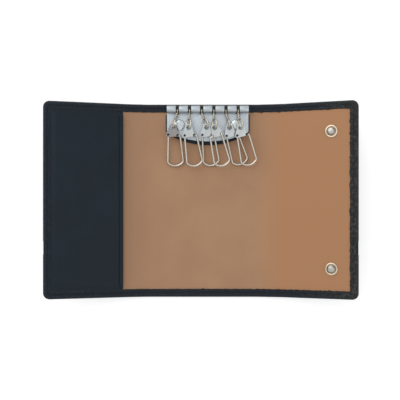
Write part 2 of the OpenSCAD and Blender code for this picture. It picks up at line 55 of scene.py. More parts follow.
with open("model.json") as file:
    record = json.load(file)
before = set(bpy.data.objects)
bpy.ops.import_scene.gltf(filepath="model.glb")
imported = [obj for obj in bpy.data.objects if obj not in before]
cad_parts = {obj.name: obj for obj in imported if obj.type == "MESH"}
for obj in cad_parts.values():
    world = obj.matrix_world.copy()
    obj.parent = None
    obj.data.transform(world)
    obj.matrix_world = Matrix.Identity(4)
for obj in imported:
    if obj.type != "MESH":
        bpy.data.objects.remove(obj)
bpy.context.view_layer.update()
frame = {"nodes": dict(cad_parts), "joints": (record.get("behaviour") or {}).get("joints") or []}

# Everything is worked out in millimetres and turned into metres as a mesh is made
MM = 0.001
JOINTS = {joint["name"]: joint for joint in frame["joints"]}
HOOK_COUNT = sum(name.startswith("hook_sway") for name in JOINTS)


def joint_point(name):
    return Vector(JOINTS[name]["pos_m"]) / MM


def node_box(name):
    low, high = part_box(name)
    return low / MM, high / MM


def smooth_step(t):
    t = np.clip(t, 0.0, 1.0)
    return t * t * (3 - 2 * t)


# Sizes that the frame already holds
PANEL_T = joint_point("left_fold_inner").z
HALF_MIDDLE = joint_point("right_fold_inner").x
HALF_H = node_box("middle_cover")[1].y
EDGE_R = PANEL_T / 2
LINING_TOP = node_box("middle_lining")[1].z
BAND_LOW, BAND_HIGH = node_box("middle_band")
ROD = (node_box("key_rod")[0] + node_box("key_rod")[1]) / 2
PLATE_LOW, PLATE_HIGH = node_box("key_plate")


class KeyCaseSizes(PropertyGroup):
    border_w: FloatProperty(
        name="Turned edge", description="Width of the turned edge", default=0.0042, unit="LENGTH")
    left_border_w: FloatProperty(
        name="Left turned edge",
        description="Width of the turned edge at the left end", default=0.0036, unit="LENGTH")
    crease_in: FloatProperty(
        name="Crease line",
        description="Distance of the pressed line from the outside", default=0.00235, unit="LENGTH")
    crease_depth: FloatProperty(
        name="Crease depth", description="Depth of the pressed line", default=0.0002, unit="LENGTH")
    corner_r: FloatProperty(
        name="Corner radius", description="Radius of the outer corners", default=0.0033, unit="LENGTH")
    raw_edge_wave: FloatProperty(
        name="Raw edge wave", description="How far the cut edge wanders", default=0.00016, unit="LENGTH")
    raw_edge_bite: FloatProperty(
        name="Raw edge bite",
        description="Fine unevenness of the cut edge at the right end", default=0.00055, unit="LENGTH")
    fold_reach: FloatProperty(
        name="Fold reach",
        description="Half the width over which leather bends at a fold", default=0.0024, unit="LENGTH")
    pocket_mouth: FloatProperty(
        name="Pocket mouth",
        description="Distance of the pocket's mouth from the left fold", default=0.0044, unit="LENGTH")
    pocket_hem_w: FloatProperty(
        name="Pocket hem", description="Width of the folded hem", default=0.002, unit="LENGTH")
    pocket_t: FloatProperty(
        name="Pocket leather",
        description="Thickness of the pocket's leather", default=0.0008, unit="LENGTH")
    pocket_gap: FloatProperty(
        name="Pocket room", description="Room inside the empty pocket", default=0.0004, unit="LENGTH")
    link_wire_d: FloatProperty(
        name="Link wire", description="Diameter of the wire of a link", default=0.00094, unit="LENGTH")
    link_eye_r: FloatProperty(
        name="Link ring", description="Middle radius of a link's lower ring", default=0.0017, unit="LENGTH")
    link_draw: FloatProperty(
        name="Link ring draw",
        description="How much longer than wide a link's lower ring is", default=0.0011, unit="LENGTH")
    link_top_r: FloatProperty(
        name="Link top ring",
        description="Middle radius of a link's upper ring", default=0.00165, unit="LENGTH")
    loop_wire_d: FloatProperty(
        name="Loop wire", description="Diameter of the loop wire", default=0.001, unit="LENGTH")
    hook_t: FloatProperty(
        name="Hook plate", description="Thickness of a hook plate", default=0.0006, unit="LENGTH")
    plate_sheet_t: FloatProperty(
        name="Key plate", description="Thickness of the key plate's sheet", default=0.0008, unit="LENGTH")
    knuckle_gap: FloatProperty(
        name="Knuckle gap", description="Gap between two knuckles", default=0.0016, unit="LENGTH")


class KeyCaseColours(PropertyGroup):
    grain_black: FloatVectorProperty(
        name="Grained leather",
        description="Outer leather", subtype="COLOR", default=(0.012, 0.0165, 0.023))
    smooth_black: FloatVectorProperty(
        name="Smooth leather",
        description="Pocket, band and patch", subtype="COLOR", default=(0.0065, 0.013, 0.020))
    tan: FloatVectorProperty(
        name="Lining", description="Tan lining leather", subtype="COLOR", default=(0.40, 0.228, 0.128))
    steel: FloatVectorProperty(
        name="Plate metal", description="Key plate", subtype="COLOR", default=(0.46, 0.505, 0.54))
    stamped: FloatVectorProperty(
        name="Hook metal", description="Stamped hook plates", subtype="COLOR", default=(0.50, 0.525, 0.53))
    # Painted reflection: the first hook plate is painted darker for the dark reflection it shows
    dark_reflection: FloatVectorProperty(
        name="Hook metal, painted dark reflection", description="First hook plate, painted darker for a dark reflection", subtype="COLOR",
        default=(0.29, 0.278, 0.272))
    wire: FloatVectorProperty(
        name="Wire metal", description="Spring wire loops", subtype="COLOR", default=(0.58, 0.545, 0.49))
    # Painted shade: the rod is painted near black for the shade inside the knuckles
    rod_painted_shade: FloatVectorProperty(
        name="Rod metal",
        description="Rod inside the knuckles, painted dark for their shade", subtype="COLOR", default=(0.05, 0.052, 0.055))
    bright: FloatVectorProperty(
        name="Bright metal",
        description="Rivets and hidden fixings", subtype="COLOR", default=(0.53, 0.58, 0.60))
    post_grey: FloatVectorProperty(
        name="Snap post",
        description="Heads of the snap studs", subtype="COLOR", default=(0.44, 0.43, 0.42))
    link: FloatVectorProperty(
        name="Link metal",
        description="Warm wire of the links", subtype="COLOR", default=(0.52, 0.485, 0.41))
    gold: FloatVectorProperty(
        name="Gold tint", description="Snap rims", subtype="COLOR", default=(0.62, 0.505, 0.375))


def sizes():
    """The sidebar's sizes in millimetres."""
    group = bpy.context.scene.key_case_sizes
    return SimpleNamespace(**{name: getattr(group, name) / MM for name in group.__annotations__})


def colours():
    return bpy.context.scene.key_case_colours


# Flat leather to folded leather

# Samples across a fold: the step, the reach to each side, and the least distance between two
FINE_STEP, FINE_REACH, LEAST_STEP = 0.4, 3.2, 0.25


class Wing:
    """One half of the case: the middle panel's half, a fold strip and a wing, as one bent line."""

    def __init__(self, name, sign):
        inner, outer = joint_point(name + "_fold_inner"), joint_point(name + "_fold_outer")
        self.name, self.sign = name, sign
        self.strip = (outer - inner).length
        self.half_tilt = -math.radians(JOINTS[name + "_fold_inner"]["range_deg"][0])
        self.fold = HALF_MIDDLE + self.strip
        tilt = 2 * self.half_tilt
        low, high = node_box(name + "_wing_cover")
        reach = high.x if sign > 0 else -low.x
        rise = EDGE_R * (1 + math.sin(tilt))
        self.length = EDGE_R + (reach - abs(outer.x) - rise) / math.cos(tilt)
        self.end = self.fold + self.length
        self.split = HALF_MIDDLE + self.strip / 2
        steps = np.linspace(0, self.end + 4, 4000)
        zone = sizes().fold_reach
        turn = sum(smooth_step((steps - at + zone) / (2 * zone)) for at in (HALF_MIDDLE, self.fold))
        self.steps, self.angle = steps, turn * self.half_tilt
        step = steps[1] - steps[0]
        self.out = np.concatenate([[0], np.cumsum(np.cos(self.angle[:-1]) * step)])
        self.up = np.concatenate([[0], np.cumsum(np.sin(self.angle[:-1]) * step)])

    def place(self, points):
        """Takes (distance from the middle, y, height) in the flat case to the folded case."""
        points = np.asarray(points, float).reshape(-1, 3)
        angle = np.interp(points[:, 0], self.steps, self.angle)
        over = points[:, 2] - PANEL_T
        out = np.interp(points[:, 0], self.steps, self.out) - np.sin(angle) * over
        up = np.interp(points[:, 0], self.steps, self.up) + np.cos(angle) * over
        return np.stack([self.sign * out, points[:, 1], PANEL_T + up], axis=1)

    def along(self, start, end, step=1.5):
        """Sample places along the case, close together where it bends."""
        places = [start, end]
        places += [x for x in np.arange(math.ceil(start), end, step)]
        for at in (HALF_MIDDLE, self.fold):
            around = np.arange(at - FINE_REACH, at + FINE_REACH + 0.1, FINE_STEP)
            places += [x for x in around if start < x < end]
        places = sorted(places)
        kept = [places[0]]
        for x in places[1:-1]:
            if x - kept[-1] > LEAST_STEP and places[-1] - x > LEAST_STEP:
                kept.append(x)
        return kept + [places[-1]]


def ripple(x, y, scale, seed):
    """Smooth wandering between -1 and 1."""
    return noise.noise(Vector((x / scale, y / scale, seed)))


# Meshes

# Points closer together than this become one
WELD = 0.0005


class Shell:
    """Collects faces of one piece in millimetres."""

    def __init__(self):
        self.points, self.faces, self.marks = [], [], []

    def add_grid(self, rows, marks=None, wrap=False):
        """rows is a list of equal rows of points; marks gives each point's wear on leather and painted shade
        on metal, from 0 to 1.
        """
        start, width = len(self.points), len(rows[0])
        for r, row in enumerate(rows):
            self.points += [tuple(p) for p in row]
            self.marks += list(marks[r]) if marks is not None else [0.0] * width
        for r in range(len(rows) - 1):
            for c in range(width if wrap else width - 1):
                nxt = (c + 1) % width
                self.faces.append((start + r * width + c, start + r * width + nxt,
                                   start + (r + 1) * width + nxt, start + (r + 1) * width + c))

    def build(self, name, material, place=None, close=True, sharp=38):
        """Welds the faces into one mesh; place bends its points, and close fills open rims."""
        points = np.array(self.points, float)
        if place is not None:
            points = place(points)
        mesh = bpy.data.meshes.new(name)
        mesh.from_pydata((points * MM).tolist(), [], self.faces)
        mark = mesh.attributes.new("wear", "FLOAT", "POINT")
        mark.data.foreach_set("value", np.array(self.marks, np.float32))
        work = bmesh.new()
        work.from_mesh(mesh)
        bmesh.ops.remove_doubles(work, verts=work.verts, dist=WELD * MM)
        bmesh.ops.dissolve_degenerate(work, edges=work.edges, dist=WELD * MM / 4)
        if close:
            rim = [e for e in work.edges if e.is_boundary]
            if rim:
                bmesh.ops.holes_fill(work, edges=rim, sides=0)
        bmesh.ops.recalc_face_normals(work, faces=work.faces)
        work.to_mesh(mesh)
        work.free()
        return finish_piece(name, mesh, material, sharp)


def finish_piece(name, mesh, material, sharp=38):
    mesh.polygons.foreach_set("use_smooth", [True] * len(mesh.polygons))
    mesh.set_sharp_from_angle(angle=math.radians(sharp))
    mesh.materials.append(material)
    piece = bpy.data.objects.new(name, mesh)
    bpy.context.scene.collection.objects.link(piece)
    return piece


def frames_along(path, closed):
    """Directions across a path that turn as little as they can."""
    path = np.asarray(path, float)
    count = len(path)
    if closed:
        tangents = np.roll(path, -1, 0) - np.roll(path, 1, 0)
    else:
        tangents = np.gradient(path, axis=0)
    tangents /= np.linalg.norm(tangents, axis=1)[:, None]
    side = np.cross(tangents[0], (0.31, 0.52, 0.79))
    side /= np.linalg.norm(side)
    sides = [side]
    for i in range(1, count):
        side = sides[-1] - tangents[i] * np.dot(sides[-1], tangents[i])
        sides.append(side / np.linalg.norm(side))
    sides = np.array(sides)
    if closed:
        last = sides[-1] - tangents[0] * np.dot(sides[-1], tangents[0])
        last /= np.linalg.norm(last)
        miss = math.atan2(np.dot(np.cross(last, sides[0]), tangents[0]), np.dot(last, sides[0]))
        for i in range(count):
            turn = miss * i / count
            sides[i] = sides[i] * math.cos(turn) + np.cross(tangents[i], sides[i]) * math.sin(turn)
    return path, tangents, sides, np.cross(tangents, sides)


def add_tube(shell, path, radius, around=14, closed=False):
    """Round wire along a path, with softly rounded ends."""
    path, tangents, sides, ups = frames_along(path, closed)
    turns = np.linspace(0, 2 * math.pi, around, endpoint=False)
    rows = []

    def ring(i, r, shift):
        centre = path[i] + tangents[i] * shift
        return [centre + r * (math.cos(a) * sides[i] + math.sin(a) * ups[i]) for a in turns]

    if not closed:
        for a in (0.12, 0.55, 0.9):
            rows.append(ring(0, radius * a, -radius * 0.5 * (1 - a)))
    rows += [ring(i, radius, 0) for i in range(len(path))]
    if closed:
        rows.append(rows[0])
    else:
        for a in (0.9, 0.55, 0.12):
            rows.append(ring(-1, radius * a, radius * 0.5 * (1 - a)))
    shell.add_grid(rows, wrap=True)


def spin(shell, profile, centre, axes, around=48):
    """Turned shape: profile is a list of (radius, height) and axes are the piece's own x, y and z."""
    centre, (ax, ay, az) = np.array(centre), [np.array(a) for a in axes]
    rows = []
    for r, h in profile:
        rows.append([centre + r * (math.cos(a) * ax + math.sin(a) * ay) + h * az
                     for a in np.linspace(0, 2 * math.pi, around, endpoint=False)])
    shell.add_grid(rows, wrap=True)


def arc_points(centre, radius, start, end, count):
    return [(centre[0] + radius * math.cos(math.radians(a)), centre[1] + radius * math.sin(math.radians(a)))
            for a in np.linspace(start, end, count)]


def stamped_sheet(name, outline, holes, thickness, bevel, to_world, material, cuts=()):
    """Flat metal blank with holes and rounded edges; outline and holes are loops in its own plane."""
    work = bmesh.new()
    edges = []
    for loop in [outline] + holes:
        verts = [work.verts.new((x, y, 0)) for x, y in loop]
        edges += [work.edges.new((verts[i], verts[(i + 1) % len(verts)])) for i in range(len(verts))]
    bmesh.ops.triangle_fill(work, edges=edges, use_beauty=True, use_dissolve=False)
    bmesh.ops.dissolve_limit(work, angle_limit=0.01, verts=work.verts, edges=work.edges)
    faces = list(work.faces)
    up = bmesh.ops.extrude_face_region(work, geom=faces)
    for vert in [g for g in up["geom"] if isinstance(g, bmesh.types.BMVert)]:
        vert.co.z += thickness
    bmesh.ops.recalc_face_normals(work, faces=work.faces)
    rim = [e for e in work.edges if len(e.link_faces) == 2 and e.calc_face_angle(0) > math.radians(60)]
    bmesh.ops.bevel(work, geom=rim, offset=bevel, segments=3, profile=0.5, affect="EDGES",
                    clamp_overlap=True)
    for cut in cuts:
        every = list(work.verts) + list(work.edges) + list(work.faces)
        bmesh.ops.bisect_plane(work, geom=every, plane_co=(*cut, 0), plane_no=(0, 1, 0))
    for vert in work.verts:
        x, y, z = vert.co
        vert.co = Vector(to_world(x, y, z - thickness / 2)) * MM
    bmesh.ops.recalc_face_normals(work, faces=work.faces)
    mesh = bpy.data.meshes.new(name)
    work.to_mesh(mesh)
    work.free()
    mesh.attributes.new("wear", "FLOAT", "POINT")
    return finish_piece(name, mesh, material, sharp=50)


# Materials
def new_group(name, inputs, outputs):
    tree = bpy.data.node_groups.new(name, "ShaderNodeTree")
    for label, kind, value in inputs:
        socket = tree.interface.new_socket(label, in_out="INPUT", socket_type=kind)
        if value is not None:
            socket.default_value = value
    for label, kind in outputs:
        tree.interface.new_socket(label, in_out="OUTPUT", socket_type=kind)
    return tree, tree.nodes.new("NodeGroupInput"), tree.nodes.new("NodeGroupOutput")


def node_in(tree, kind, links=None, **values):
    """Adds a node: values are its settings, and links its inputs, as sockets or plain values."""
    node = tree.nodes.new(kind)
    for key, value in values.items():
        setattr(node, key, value)
    for key, value in (links or {}).items():
        socket = node.inputs[key]
        if isinstance(value, bpy.types.NodeSocket):
            tree.links.new(value, socket)
        else:
            socket.default_value = value
    return node


def math_node(tree, operation, a, b=0.0, c=0.0):
    return node_in(tree, "ShaderNodeMath", {0: a, 1: b, 2: c}, operation=operation).outputs[0]


def vector_node(tree, operation, a, b):
    return node_in(tree, "ShaderNodeVectorMath", {0: a, 1: b}, operation=operation).outputs[0]


def mix_colour(tree, factor, a, b, blend="MIX"):
    node = node_in(tree, "ShaderNodeMix", {0: factor, 6: a, 7: b}, data_type="RGBA", blend_type=blend)
    return node.outputs[2]


def ramp(tree, value, low, high):
    return node_in(tree, "ShaderNodeMapRange", {0: value, 1: low, 2: high}).outputs[0]


def pebble_group():
    """Pebbled leather: rounded cells with valleys between them, broken up by fine pores."""
    tree, given, out = new_group(
        "pebble grain",
        [("Cells per metre", "NodeSocketFloat", 1300.0), ("Pores", "NodeSocketFloat", 0.25)],
        [("Height", "NodeSocketFloat"), ("Valleys", "NodeSocketFloat")])
    place = tree.nodes.new("ShaderNodeTexCoord").outputs["Object"]
    warp = node_in(tree, "ShaderNodeTexNoise", {"Vector": place, "Scale": 420.0, "Detail": 2.0})
    shift = vector_node(tree, "SUBTRACT", warp.outputs["Color"], (0.5, 0.5, 0.5))
    shift = vector_node(tree, "MULTIPLY", shift, (0.0011, 0.0011, 0.0011))
    at = vector_node(tree, "ADD", place, shift)
    cells = node_in(
        tree, "ShaderNodeTexVoronoi", {"Vector": at, "Scale": given.outputs[0], "Randomness": 0.9},
        feature="DISTANCE_TO_EDGE")
    round_top = ramp(tree, cells.outputs["Distance"], 0.0, 0.32)
    round_top = math_node(tree, "POWER", round_top, 0.6)
    pores = node_in(tree, "ShaderNodeTexNoise", {"Vector": place, "Scale": 3600.0, "Detail": 3.0})
    fine = math_node(tree, "MULTIPLY", pores.outputs["Fac"], given.outputs[1])
    tree.links.new(math_node(tree, "ADD", round_top, fine), out.inputs[0])
    tree.links.new(math_node(tree, "SUBTRACT", 1.0, round_top), out.inputs[1])
    return tree


def hide_group():
    """Smooth hide: hair-fine grain with broad soft clouds."""
    tree, given, out = new_group(
        "smooth hide",
        [("Grain per metre", "NodeSocketFloat", 5200.0), ("Cloud per metre", "NodeSocketFloat", 55.0)],
        [("Height", "NodeSocketFloat"), ("Clouds", "NodeSocketFloat"), ("Fibres", "NodeSocketFloat")])
    place = tree.nodes.new("ShaderNodeTexCoord").outputs["Object"]
    grain = node_in(
        tree, "ShaderNodeTexVoronoi", {"Vector": place, "Scale": given.outputs[0]}, feature="SMOOTH_F1")
    lines = node_in(
        tree, "ShaderNodeTexNoise", {"Vector": place, "Scale": 1700.0, "Detail": 4.0, "Roughness": 0.65})
    clouds = node_in(
        tree, "ShaderNodeTexNoise",
        {"Vector": place, "Scale": given.outputs[1], "Detail": 3.0, "Roughness": 0.55})
    both = math_node(tree, "MULTIPLY_ADD", lines.outputs["Fac"], 0.8, grain.outputs["Distance"])
    tree.links.new(both, out.inputs[0])
    tree.links.new(clouds.outputs["Fac"], out.inputs[1])
    tree.links.new(lines.outputs["Fac"], out.inputs[2])
    return tree


def brushed_group():
    """Drawn or tumbled metal: streaks along one direction and small marks."""
    tree, given, out = new_group(
        "brushed metal",
        [("Along", "NodeSocketVector", (40.0, 2400.0, 2400.0)),
         ("Marks per metre", "NodeSocketFloat", 900.0)],
        [("Streaks", "NodeSocketFloat"), ("Marks", "NodeSocketFloat")])
    place = tree.nodes.new("ShaderNodeTexCoord").outputs["Object"]
    long = vector_node(tree, "MULTIPLY", place, given.outputs[0])
    streaks = node_in(tree, "ShaderNodeTexNoise", {"Vector": long, "Scale": 1.0, "Detail": 3.0})
    marks = node_in(
        tree, "ShaderNodeTexNoise",
        {"Vector": place, "Scale": given.outputs[1], "Detail": 5.0, "Roughness": 0.7})
    tree.links.new(streaks.outputs["Fac"], out.inputs[0])
    tree.links.new(ramp(tree, marks.outputs["Fac"], 0.45, 0.7), out.inputs[1])
    return tree


def wear_and_shade_group():
    """Mask of rubbed edges on leather and of painted shade on metal, from the marks that a piece's mesh
    carries, broken up by spots.
    """
    tree, given, out = new_group(
        "edge wear",
        [("Amount", "NodeSocketFloat", 1.0), ("Spots per metre", "NodeSocketFloat", 700.0)],
        [("Mask", "NodeSocketFloat")])
    edge = node_in(tree, "ShaderNodeAttribute", attribute_name="wear").outputs["Fac"]
    place = tree.nodes.new("ShaderNodeTexCoord").outputs["Object"]
    spots = node_in(tree, "ShaderNodeTexNoise", {"Vector": place, "Scale": given.outputs[1], "Detail": 4.0})
    broken = ramp(tree, spots.outputs["Fac"], 0.38, 0.68)
    whole = math_node(tree, "POWER", edge, 8.0)
    spread = math_node(tree, "MAXIMUM", broken, whole)
    mask = math_node(tree, "MULTIPLY", math_node(tree, "MULTIPLY", edge, spread), given.outputs[0])
    tree.links.new(mask, out.inputs[0])
    return tree


GROUPS = {"pebble": pebble_group, "hide": hide_group, "brushed": brushed_group, "wear": wear_and_shade_group}
made_groups, made_materials = {}, {}


def group_node(tree, kind, **values):
    if kind not in made_groups:
        made_groups[kind] = GROUPS[kind]()
    node = tree.nodes.new("ShaderNodeGroup")
    node.node_tree = made_groups[kind]
    for key, value in values.items():
        node.inputs[key.replace("_", " ")].default_value = value
    return node


def start_material(name, roughness, metallic=0.0, **sockets):
    material = bpy.data.materials.new(name)
    material.use_nodes = True
    tree = material.node_tree
    shader = tree.nodes["Principled BSDF"]
    shader.inputs["Roughness"].default_value = roughness
    shader.inputs["Metallic"].default_value = metallic
    for key, value in sockets.items():
        shader.inputs[key.replace("_", " ")].default_value = value
    return material, tree, shader


def rgba(colour, share=1.0):
    return tuple(min(1.0, c * share) for c in colour[:3]) + (1.0,)


def bump_into(tree, shader, height, distance):
    bump = node_in(tree, "ShaderNodeBump", {"Height": height, "Distance": distance})
    tree.links.new(bump.outputs[0], shader.inputs["Normal"])


def grained_leather():
    """Pebbled outer leather, dustier at the right end and inkier at the left, rubbed pale at its edges."""
    material, tree, shader = start_material("grained black leather", 0.5, Specular_IOR_Level=0.2)
    grain = group_node(tree, "pebble")
    wear = group_node(tree, "wear", Amount=0.8, Spots_per_metre=900.0)
    base = colours().grain_black
    place = tree.nodes.new("ShaderNodeTexCoord").outputs["Object"]
    across = node_in(tree, "ShaderNodeSeparateXYZ", {0: place}).outputs[0]
    dusty = (base[0] * 1.9, base[1] * 1.45, base[2] * 1.02, 1.0)
    right = ramp(tree, across, 0.05, 0.075)
    colour = mix_colour(tree, right, rgba(base), dusty)
    inky = (base[0] * 0.92, base[1] * 1.07, base[2] * 1.14, 1.0)
    colour = mix_colour(tree, ramp(tree, across, -0.03, -0.06), colour, inky)
    # Painted shade in the grain's valleys and painted light on its tops
    shade = mix_colour(tree, grain.outputs["Valleys"], (1.3, 1.3, 1.3, 1.0), (0.4, 0.4, 0.4, 1.0))
    colour = mix_colour(tree, 1.0, colour, shade, blend="MULTIPLY")
    spots = node_in(tree, "ShaderNodeTexNoise", {"Vector": place, "Scale": 620.0, "Detail": 2.0})
    amount = math_node(tree, "MULTIPLY_ADD", right, 0.5, 0.12)
    flecks = math_node(tree, "MULTIPLY", ramp(tree, spots.outputs["Fac"], 0.5, 0.64), amount)
    worn = math_node(tree, "MAXIMUM", wear.outputs["Mask"], flecks)
    colour = mix_colour(tree, worn, colour, (3.4, 3.4, 3.4, 1.0), blend="MULTIPLY")
    tree.links.new(colour, shader.inputs["Base Color"])
    rough = math_node(tree, "MULTIPLY_ADD", grain.outputs["Valleys"], 0.25, 0.44)
    tree.links.new(rough, shader.inputs["Roughness"])
    bump_into(tree, shader, grain.outputs["Height"], 0.00016)
    return material


def smooth_leather():
    """Fine-grained leather of the pocket, the band and the patch."""
    material, tree, shader = start_material("smooth black leather", 0.46, Specular_IOR_Level=0.18)
    hide = group_node(tree, "hide")
    wear = group_node(tree, "wear", Amount=0.5)
    base = colours().smooth_black
    clouds = ramp(tree, hide.outputs["Clouds"], 0.3, 0.7)
    colour = mix_colour(tree, clouds, rgba(base, 0.88), rgba(base, 1.15))
    colour = mix_colour(tree, wear.outputs["Mask"], colour, rgba(base, 2.2))
    tree.links.new(colour, shader.inputs["Base Color"])
    rough = math_node(tree, "MULTIPLY_ADD", hide.outputs["Clouds"], 0.16, 0.38)
    tree.links.new(rough, shader.inputs["Roughness"])
    bump_into(tree, shader, hide.outputs["Height"], 0.00002)
    return material


def tan_lining():
    """Tan lining with fine fibres; painted light makes it redder to the right and painted shade makes it
    darker and greyer to the left.
    """
    material, tree, shader = start_material("tan lining leather", 0.62, Specular_IOR_Level=0.3)
    hide = group_node(tree, "hide", Cloud_per_metre=42.0)
    wear = group_node(tree, "wear", Amount=0.8, Spots_per_metre=300.0)
    base = colours().tan
    place = tree.nodes.new("ShaderNodeTexCoord").outputs["Object"]
    across = node_in(tree, "ShaderNodeSeparateXYZ", {0: place}).outputs[0]
    # Painted light and shade: a redder tone to the right, a darker, greyer one to the left
    right = ramp(tree, across, 0.026, 0.042)
    left = ramp(tree, across, -0.018, -0.044)
    clouds = ramp(tree, hide.outputs["Clouds"], 0.3, 0.7)
    colour = mix_colour(tree, clouds, rgba(base, 0.94), rgba(base, 1.06))
    colour = mix_colour(tree, right, colour, (base[0] * 1.06, base[1] * 0.93, base[2] * 0.8, 1.0))
    colour = mix_colour(tree, left, colour, (base[0] * 0.86, base[1] * 0.86, base[2] * 0.92, 1.0))
    fibres = ramp(tree, hide.outputs["Fibres"], 0.35, 0.65)
    colour = mix_colour(tree, math_node(tree, "MULTIPLY", fibres, 0.12), colour, rgba(base, 0.7))
    colour = mix_colour(tree, wear.outputs["Mask"], colour, rgba(base, 0.55))
    tree.links.new(colour, shader.inputs["Base Color"])
    bump_into(tree, shader, hide.outputs["Height"], 0.000025)
    return material


def metal(name, colour, roughness, along, marks=0.12, dark=0.55, painted_shade_tone=0.6, covered=0.6):
    """Streaked metal: dark is the shade of its marks, and the places that its mesh marks are darkened with
    painted shade to the given shade tone.
    """
    material, tree, shader = start_material(name, roughness, 1.0)
    brushed = group_node(tree, "brushed", Along=along)
    wear = group_node(tree, "wear", Amount=covered)
    tone = mix_colour(tree, brushed.outputs["Streaks"], rgba(colour, 0.9), rgba(colour, 1.08))
    marked = math_node(tree, "MULTIPLY", brushed.outputs["Marks"], marks)
    tone = mix_colour(tree, marked, tone, rgba(colour, dark))
    # Painted shade on the places that the mesh marks
    tone = mix_colour(tree, wear.outputs["Mask"], tone, rgba(colour, painted_shade_tone))
    tree.links.new(tone, shader.inputs["Base Color"])
    rough = math_node(tree, "MULTIPLY_ADD", brushed.outputs["Streaks"], 0.14, roughness - 0.07)
    rough = math_node(tree, "MULTIPLY_ADD", brushed.outputs["Marks"], 0.12, rough)
    tree.links.new(rough, shader.inputs["Roughness"])
    bump_into(tree, shader, brushed.outputs["Streaks"], 0.000006)
    return material


def fibre_board():
    """Pressed board inside the three panels."""
    material, tree, shader = start_material("fibre board", 0.85)
    hide = group_node(tree, "hide", Grain_per_metre=2600.0)
    tone = mix_colour(tree, hide.outputs["Fibres"], (0.20, 0.17, 0.13, 1), (0.40, 0.36, 0.29, 1))
    tree.links.new(tone, shader.inputs["Base Color"])
    bump_into(tree, shader, hide.outputs["Height"], 0.00004)
    return material


# Streaks per metre along each axis
ANY_WAY = (900.0, 900.0, 900.0)
SIDEWAYS = (45.0, 2600.0, 2600.0)
DOWNWARDS = (1400.0, 90.0, 1400.0)
# Painted shade: the ends of wires inside holes and knuckles are painted nearly black
ENDS_IN_PAINTED_SHADE = {"painted_shade_tone": 0.06, "covered": 1.0}
FINISHES = {
    "grained": grained_leather,
    "smooth": smooth_leather,
    "lining": tan_lining,
    "board": fibre_board,
    "plate": lambda: metal("satin key plate", colours().steel, 0.42, SIDEWAYS),
    "hook": lambda: metal("stamped hook metal", colours().stamped, 0.3, ANY_WAY, 0.2),
    "wire": lambda: metal("spring wire", colours().wire, 0.24, DOWNWARDS, 0.15, **ENDS_IN_PAINTED_SHADE),
    "dark_reflection": lambda: metal("dull hook metal", colours().dark_reflection, 0.34, ANY_WAY, 0.3),
    # Painted shade: the rod's near-black colour stands for the shade in the knuckles
    "rod": lambda: metal("darkened rod", colours().rod_painted_shade, 0.45, SIDEWAYS, 0.3),
    "link": lambda: metal("warm link wire", colours().link, 0.24, ANY_WAY, 0.15, **ENDS_IN_PAINTED_SHADE),
    "snap": lambda: metal("pale gold snap", colours().gold, 0.22, ANY_WAY, 0.05, painted_shade_tone=0.45, covered=1.0),
    "stud": lambda: metal("grey snap post", colours().post_grey, 0.3, ANY_WAY, 0.05),
    "post": lambda: metal("bright rivet", colours().bright, 0.22, ANY_WAY, 0.1),
}


def finish(kind):
    if kind not in made_materials:
        made_materials[kind] = FINISHES[kind]()
    return made_materials[kind]


# Leather

# Height of the leather's face under the lining, a little inside the lining
UNDER_LINING = LINING_TOP - 0.1


def end_border(wing):
    """Width of the turned edge at a wing's free end."""
    return sizes().left_border_w if wing.name == "left" else sizes().border_w


def border_profile(width):
    """(distance from the outside, height, wear) from the raw edge over the edge to the outside face."""
    s = sizes()
    at, deep = s.crease_in, s.crease_depth
    rows = [(width, UNDER_LINING, 0.0), (width, PANEL_T - 0.12, 0.35),
            (width - 0.06, PANEL_T - 0.03, 0.5), (width - 0.2, PANEL_T + 0.02, 0.3),
            (width - 0.55, PANEL_T + 0.04, 0.0),
            (at + 0.55, PANEL_T + 0.05, 0.0), (at + 0.25, PANEL_T + 0.01, 0.0), (at, PANEL_T - deep, 0.0),
            (at - 0.25, PANEL_T + 0.01, 0.0), (at - 0.5, PANEL_T + 0.03, 0.0)]
    for angle in range(90, -91, -15):
        a = math.radians(angle)
        rows.append((EDGE_R * (1 - math.cos(a)), EDGE_R * (1 + math.sin(a)), max(0.0, math.cos(a)) * 0.8))
    rows += [(width * 0.6, 0.0, 0.0), (width, 0.0, 0.0)]
    return rows


# Depth of the channel that the outer band lies in, and the width of its walls
CHANNEL, CHANNEL_WALL = 0.5, 0.06


def band_depth_at(y):
    """1 inside the channel of the outer band, 0 outside it."""
    return 1.0 if BAND_LOW.y - 0.01 < y < BAND_HIGH.y + 0.01 else 0.0


def across_places(border, spacing=2.2):
    """Heights on the case at which the leather is sampled, with both walls of the band's channel."""
    top = HALF_H - border
    places = list(np.linspace(-top, top, int(2 * top / spacing)))
    walls = [BAND_LOW.y - CHANNEL_WALL, BAND_LOW.y, BAND_HIGH.y, BAND_HIGH.y + CHANNEL_WALL]
    clear = 0.4
    places = [y for y in places if all(abs(y - w) > clear for w in walls)]
    return sorted(places + walls)


# Unevenness of turned leather: size in millimetres and seed of each kind
WAVE, BITE, SWELL, PUCKER = (7.0, 3.1), (2.1, 8.4), (5.0, 1.7), (1.9, 6.6)


